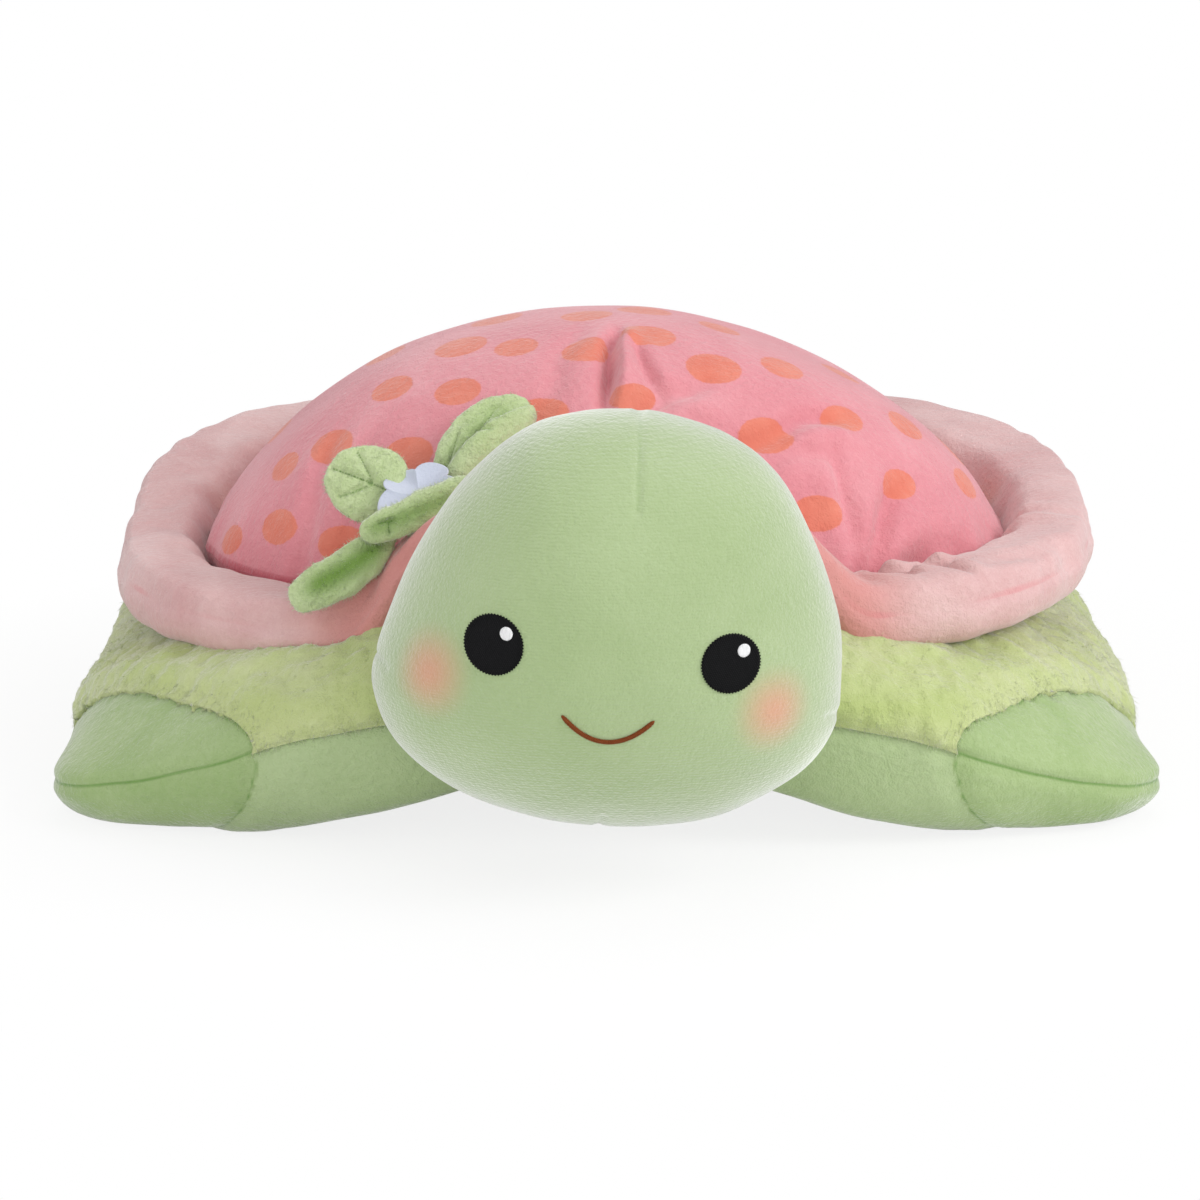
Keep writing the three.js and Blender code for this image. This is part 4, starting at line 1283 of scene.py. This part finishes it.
for leaf_name, run, upper, lower, thick, root_blunt, tip_blunt, swell, veins, dark in leaves:
    share = ((1 - np.cos(np.linspace(0.03, math.pi - 0.03, leaf_rows))) / 2)[:, None]
    turn = np.linspace(0, 2 * math.pi, leaf_count, endpoint=False)[None, :]
    run = np.array(run) * mm
    upper, lower = np.array(upper) * mm, np.array(lower) * mm
    fits = [np.polyfit([0, 1 / 3, 2 / 3, 1], run[:, k], 3) for k in range(3)]
    middle = np.stack([np.polyval(fit, share[:, 0]) for fit in fits], 1)[:, None, :]
    length = float(np.linalg.norm(np.diff(middle[:, 0], axis=0), axis=1).sum())
    blunt = share ** root_blunt * (1 - share) ** tip_blunt
    blunt = blunt / blunt.max()
    across = np.sign(np.cos(turn)) * np.abs(np.cos(turn)) ** 0.8 + 0 * share
    face = np.sin(turn) + 0 * share
    up_part, low_part = ((sign * across + np.sqrt(across ** 2 + 0.02) - 0.14) / 2 for sign in (1, -1))
    points = middle + (up_part * blunt)[..., None] * upper + (low_part * blunt)[..., None] * lower
    points = points + (swell * mm * np.sin(math.pi * low_part) * blunt)[..., None] * np.array([0, 0, 1])
    ahead = np.gradient(middle[:, 0], axis=0)[:, None, :]
    side = (upper * (1 + across[..., None]) - lower * (1 - across[..., None])) / 2
    normal = np.cross(ahead, side)
    normal = normal / np.linalg.norm(normal, axis=2)[..., None]
    normal = normal * np.sign((normal * [-0.1, -1, 0.6]).sum(2))[..., None]
    half_width = np.where(across > 0, np.linalg.norm(upper), np.linalg.norm(lower)) * blunt
    # laid out flat, each point's distance to the nearest vein, and how far along that vein it is
    vein, vein_run = np.full(across.shape, 1.0), np.zeros(across.shape)
    for vein_ends in veins:
        start, end = (np.array(vein_end) * [length, half_width.max()] for vein_end in vein_ends)
        away, t = to_line(share * length + 0 * across, across * half_width, start, end)
        vein_run = np.where(away < vein, t * np.linalg.norm(end - start), vein_run)
        vein = np.minimum(vein, away)
    quilt = 1 - 0.45 * np.exp(-((vein / (1.1 * mm)) ** 2))
    height = np.sign(face) * np.abs(face) ** 0.7 * thick / 2 * mm * np.sqrt(blunt) * quilt
    rings = points + normal * height[..., None] + [0, pillow_middle, 0]
    leaf = skin_of(leaf_name + "_plush", rings, rings[0].mean(0), rings[-1].mean(0))
    points = spots(leaf)
    rough = grain(points, 1 / (7 * mm), dark) * 0.7 * mm + grain(points, 1 / (2.2 * mm), dark) * 0.3 * mm
    place(leaf, points + outward(leaf) * rough[:, None])
    give(leaf, "vein_mm", [*(vein / mm + 9 * (face < 0)).ravel(), 9, 9])
    give(leaf, "stitch", [*(np.sin(vein_run / (0.18 * mm)) > -0.4).ravel(), 0, 0])
    brushed = dark * np.exp(-((across / 0.62) ** 2)) * np.clip(face * 2, 0, 1)
    give(leaf, "brushed", [*(brushed * eased(share, 0.02, 0.3) * eased(share, 1, 0.8)).ravel(), 0, 0])
    leaf.data.materials.append(leaf_green)
    haired(leaf, 1500, 2.2 * mm, 0.11 * mm, 5, np.ones(len(points)), 0.55, (0, 0, -0.4))
    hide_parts(leaf_name)
    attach(leaf, leaf_name)
    # the long leaf lies on the brim, which lifts its tip as that half folds; here it only gets its own copy of its mesh
    if leaf_name == "leaf_long":
        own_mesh(leaf)

button_count = 72
rings = []
for share, height in ((1.0, -9), (1.03, -6), (1.02, -3), (0.96, -1), (0.8, -0.2), (0.5, 0.2), (0.15, 0.3)):
    ring = oval(sprig_radius * share, sprig_radius * share, 2, button_count)
    rings.append(np.column_stack([ring + sprig_middle, np.full(button_count, sprig_top + height * mm)]))
button = skin_of("sprig_button", rings, last=(*sprig_middle, sprig_top + 0.3 * mm))
for name, value in (("vein_mm", 9.0), ("stitch", 0.0), ("brushed", 0.3)):
    give(button, name, np.full(len(button.data.vertices), value))
button.data.materials.append(leaf_green)
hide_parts("sprig_base")
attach(button, "root")


def felt(name, colour, light):
    """Pressed wool: matt, with a fine random fibre."""
    material = cleared(bpy.data.materials.new(name))
    fibre = speckle(material, node(material, "TexCoord").outputs["Object"], 900.0, 4.0, 1.2)
    return surfaced(material, mixed(material, fibre, colour, light), fibre, 0.5, 0.5 * mm, {
        "Roughness": 0.95, "Sheen Weight": 0.4, "Sheen Roughness": 0.6,
    })


# the flower lies on the button, tipped toward its left and front, and its far petals stand up
flower_middle = np.array([-66.5 * mm, -124.5 * mm + pillow_middle, 120.5 * mm])
flower_up = np.array([-0.25, -0.3, 0.92])
flower_up = flower_up / np.linalg.norm(flower_up)
flower_across = np.cross([0, 1, 0], flower_up)
flower_across = flower_across / np.linalg.norm(flower_across)
flower_away = np.cross(flower_up, flower_across)


def on_flower(angle, radius, height):
    """Points round the flower's middle, raised above it by a height."""
    angle, radius, height = np.broadcast_arrays(angle, radius, height)
    out = np.outer(np.cos(angle) * radius, flower_across) + np.outer(np.sin(angle) * radius, flower_away)
    return out + np.outer(height, flower_up) + flower_middle


petal_angle = np.linspace(0, 2 * math.pi, 300, endpoint=False)
petal_reach, petal_turn, petals = 15.5 * mm, math.radians(196), 5
scallop = petal_reach * (0.68 + 0.32 * np.abs(np.cos((petal_angle - petal_turn) * (petals / 2))) ** 0.6)
rings = []
for share, height in (
    (0.1, 0), (0.35, 0.1), (0.6, 0.5), (0.8, 1.1), (0.95, 1.7), (0.99, 1.75), (1.0, 1.4), (0.99, 0.9),
    (0.9, 0.5), (0.6, -0.6), (0.2, -1.1),
):
    wave = 0.8 * mm * share ** 2 * np.sin(petal_angle * petals + 1) + 0.3 * mm * share * np.sin(petal_angle * 3)
    wave = wave + 2.4 * mm * share ** 2 * np.sin(petal_angle)
    rings.append(on_flower(petal_angle, scallop * share, height * mm + wave))
flower = skin_of("felt_flower", rings, on_flower(0, 0, 0), on_flower(0, 0, -1.1 * mm))
flower.data.materials.append(felt("lavender_felt", linear(186, 192, 212), linear(206, 211, 227)))
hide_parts("flower_petals")
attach(flower, "root")
knot_angle = np.linspace(0, 2 * math.pi, 48, endpoint=False)
knot_rows, knot_radius, knot_rise = 12, 2.8 * mm, 1.3 * mm
rings = []
for step in range(knot_rows):
    turn = step / knot_rows * math.pi / 2
    radius = knot_radius * math.cos(turn) * (1 + 0.05 * np.sin(knot_angle * 8))
    rings.append(on_flower(knot_angle, radius, 0.1 * mm + knot_rise * math.sin(turn)))
centre = skin_of("flower_centre_knot", rings, last=on_flower(0, 0, 1.4 * mm))
centre.data.materials.append(felt("pale_felt", linear(200, 204, 220), linear(220, 223, 235)))
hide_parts("flower_centre")
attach(centre, "root")


# ---- Belly strap ----
# A flat woven webbing sewn to the right half. Its free end carries the hooks and the left half
# carries the loops, which together hold the cushion folded.
def weave(name, colour, light, pitch):
    """Plain woven tape: ribs along and across."""
    material = cleared(bpy.data.materials.new(name))
    where = node(material, "TexCoord").outputs["Object"]
    across, along = (
        node(material, "TexWave", {
            "Vector": where, "Scale": 1 / pitch / 3.2, "Distortion": 0.4,
        }, bands_direction=way).outputs["Fac"]
        for way in "XY"
    )
    ribs = reckon(material, "MULTIPLY", across, along)
    return surfaced(material, mixed(material, ribs, colour, light), ribs, 0.8, 0.6 * mm, {
        "Roughness": 0.8, "Sheen Weight": 0.2,
    })


green_webbing = weave("green_webbing", linear(132, 168, 106), linear(164, 196, 136), 1.4 * mm)
hook_tape = weave("hook_and_loop_tape", linear(200, 212, 186), linear(228, 236, 216), 0.9 * mm)
band_turn = np.linspace(0, 2 * math.pi, 132, endpoint=False)
# round the band, with edges that are only a little rounded
across = np.sign(np.cos(band_turn)) * np.abs(np.cos(band_turn)) ** 0.25
upward = np.sign(np.sin(band_turn)) * np.abs(np.sin(band_turn)) ** 0.25
stitch_in, stitch_width, stitch_depth = 3 * mm, 0.5 * mm, 0.3 * mm
for band_name, strap_node, strap_body, strap_slot, strap_material, pitch in (
    ("sewn_end", "strap_root", "right_half", "webbing", green_webbing, 1.6 * mm),
    ("webbing_band", "strap_webbing", "strap", "webbing", green_webbing, 1.6 * mm),
    ("loop_tape", "strap_loop_patch", "left_half", "hook_and_loop", hook_tape, 1.2 * mm),
    ("hook_tape", "strap_hook_patch", "strap", "hook_and_loop", hook_tape, 1.2 * mm),
):
    low_end, high_end = (Vector(corner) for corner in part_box(strap_node))
    run = rays_on(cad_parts[strap_node])
    stations = int((high_end.x - low_end.x) / (pitch / 5)) + 1
    middle_y = (low_end.y + high_end.y) / 2
    half = (high_end.y - low_end.y) / 2 - 0.2 * mm
    side_in = half * (1 - np.abs(across)) - stitch_in
    rings = []
    for x in np.linspace(low_end.x + 0.2 * mm, high_end.x - 0.2 * mm, stations):
        low, high = (
            run.ray_cast(Vector((x, middle_y, z)), Vector((0, 0, sense)))[0].z
            for z, sense in ((low_end.z - 0.01, 1), (high_end.z + 0.01, -1))
        )
        yarn = np.sin(2 * math.pi * x / pitch) * np.sign(np.sin(math.pi * across * half / pitch)) * 0.11 * mm
        end_in = min(x - low_end.x, high_end.x - x) - stitch_in
        sewn = np.exp(-((side_in / stitch_width) ** 2)) + math.exp(-((end_in / stitch_width) ** 2))
        thick = (high - low) / 2 + yarn - stitch_depth * np.minimum(sewn, 1)
        rings.append(np.column_stack([np.full(len(across), x), across * half, (low + high) / 2 + upward * thick]))
    ends = (ring.mean(0) + [0, middle_y, 0] for ring in (rings[0], rings[-1]))
    band = skin_of(band_name, [ring + [0, middle_y, 0] for ring in rings], *ends)
    band.data.materials.append(strap_material)
    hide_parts(strap_node)
    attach(band, strap_body)
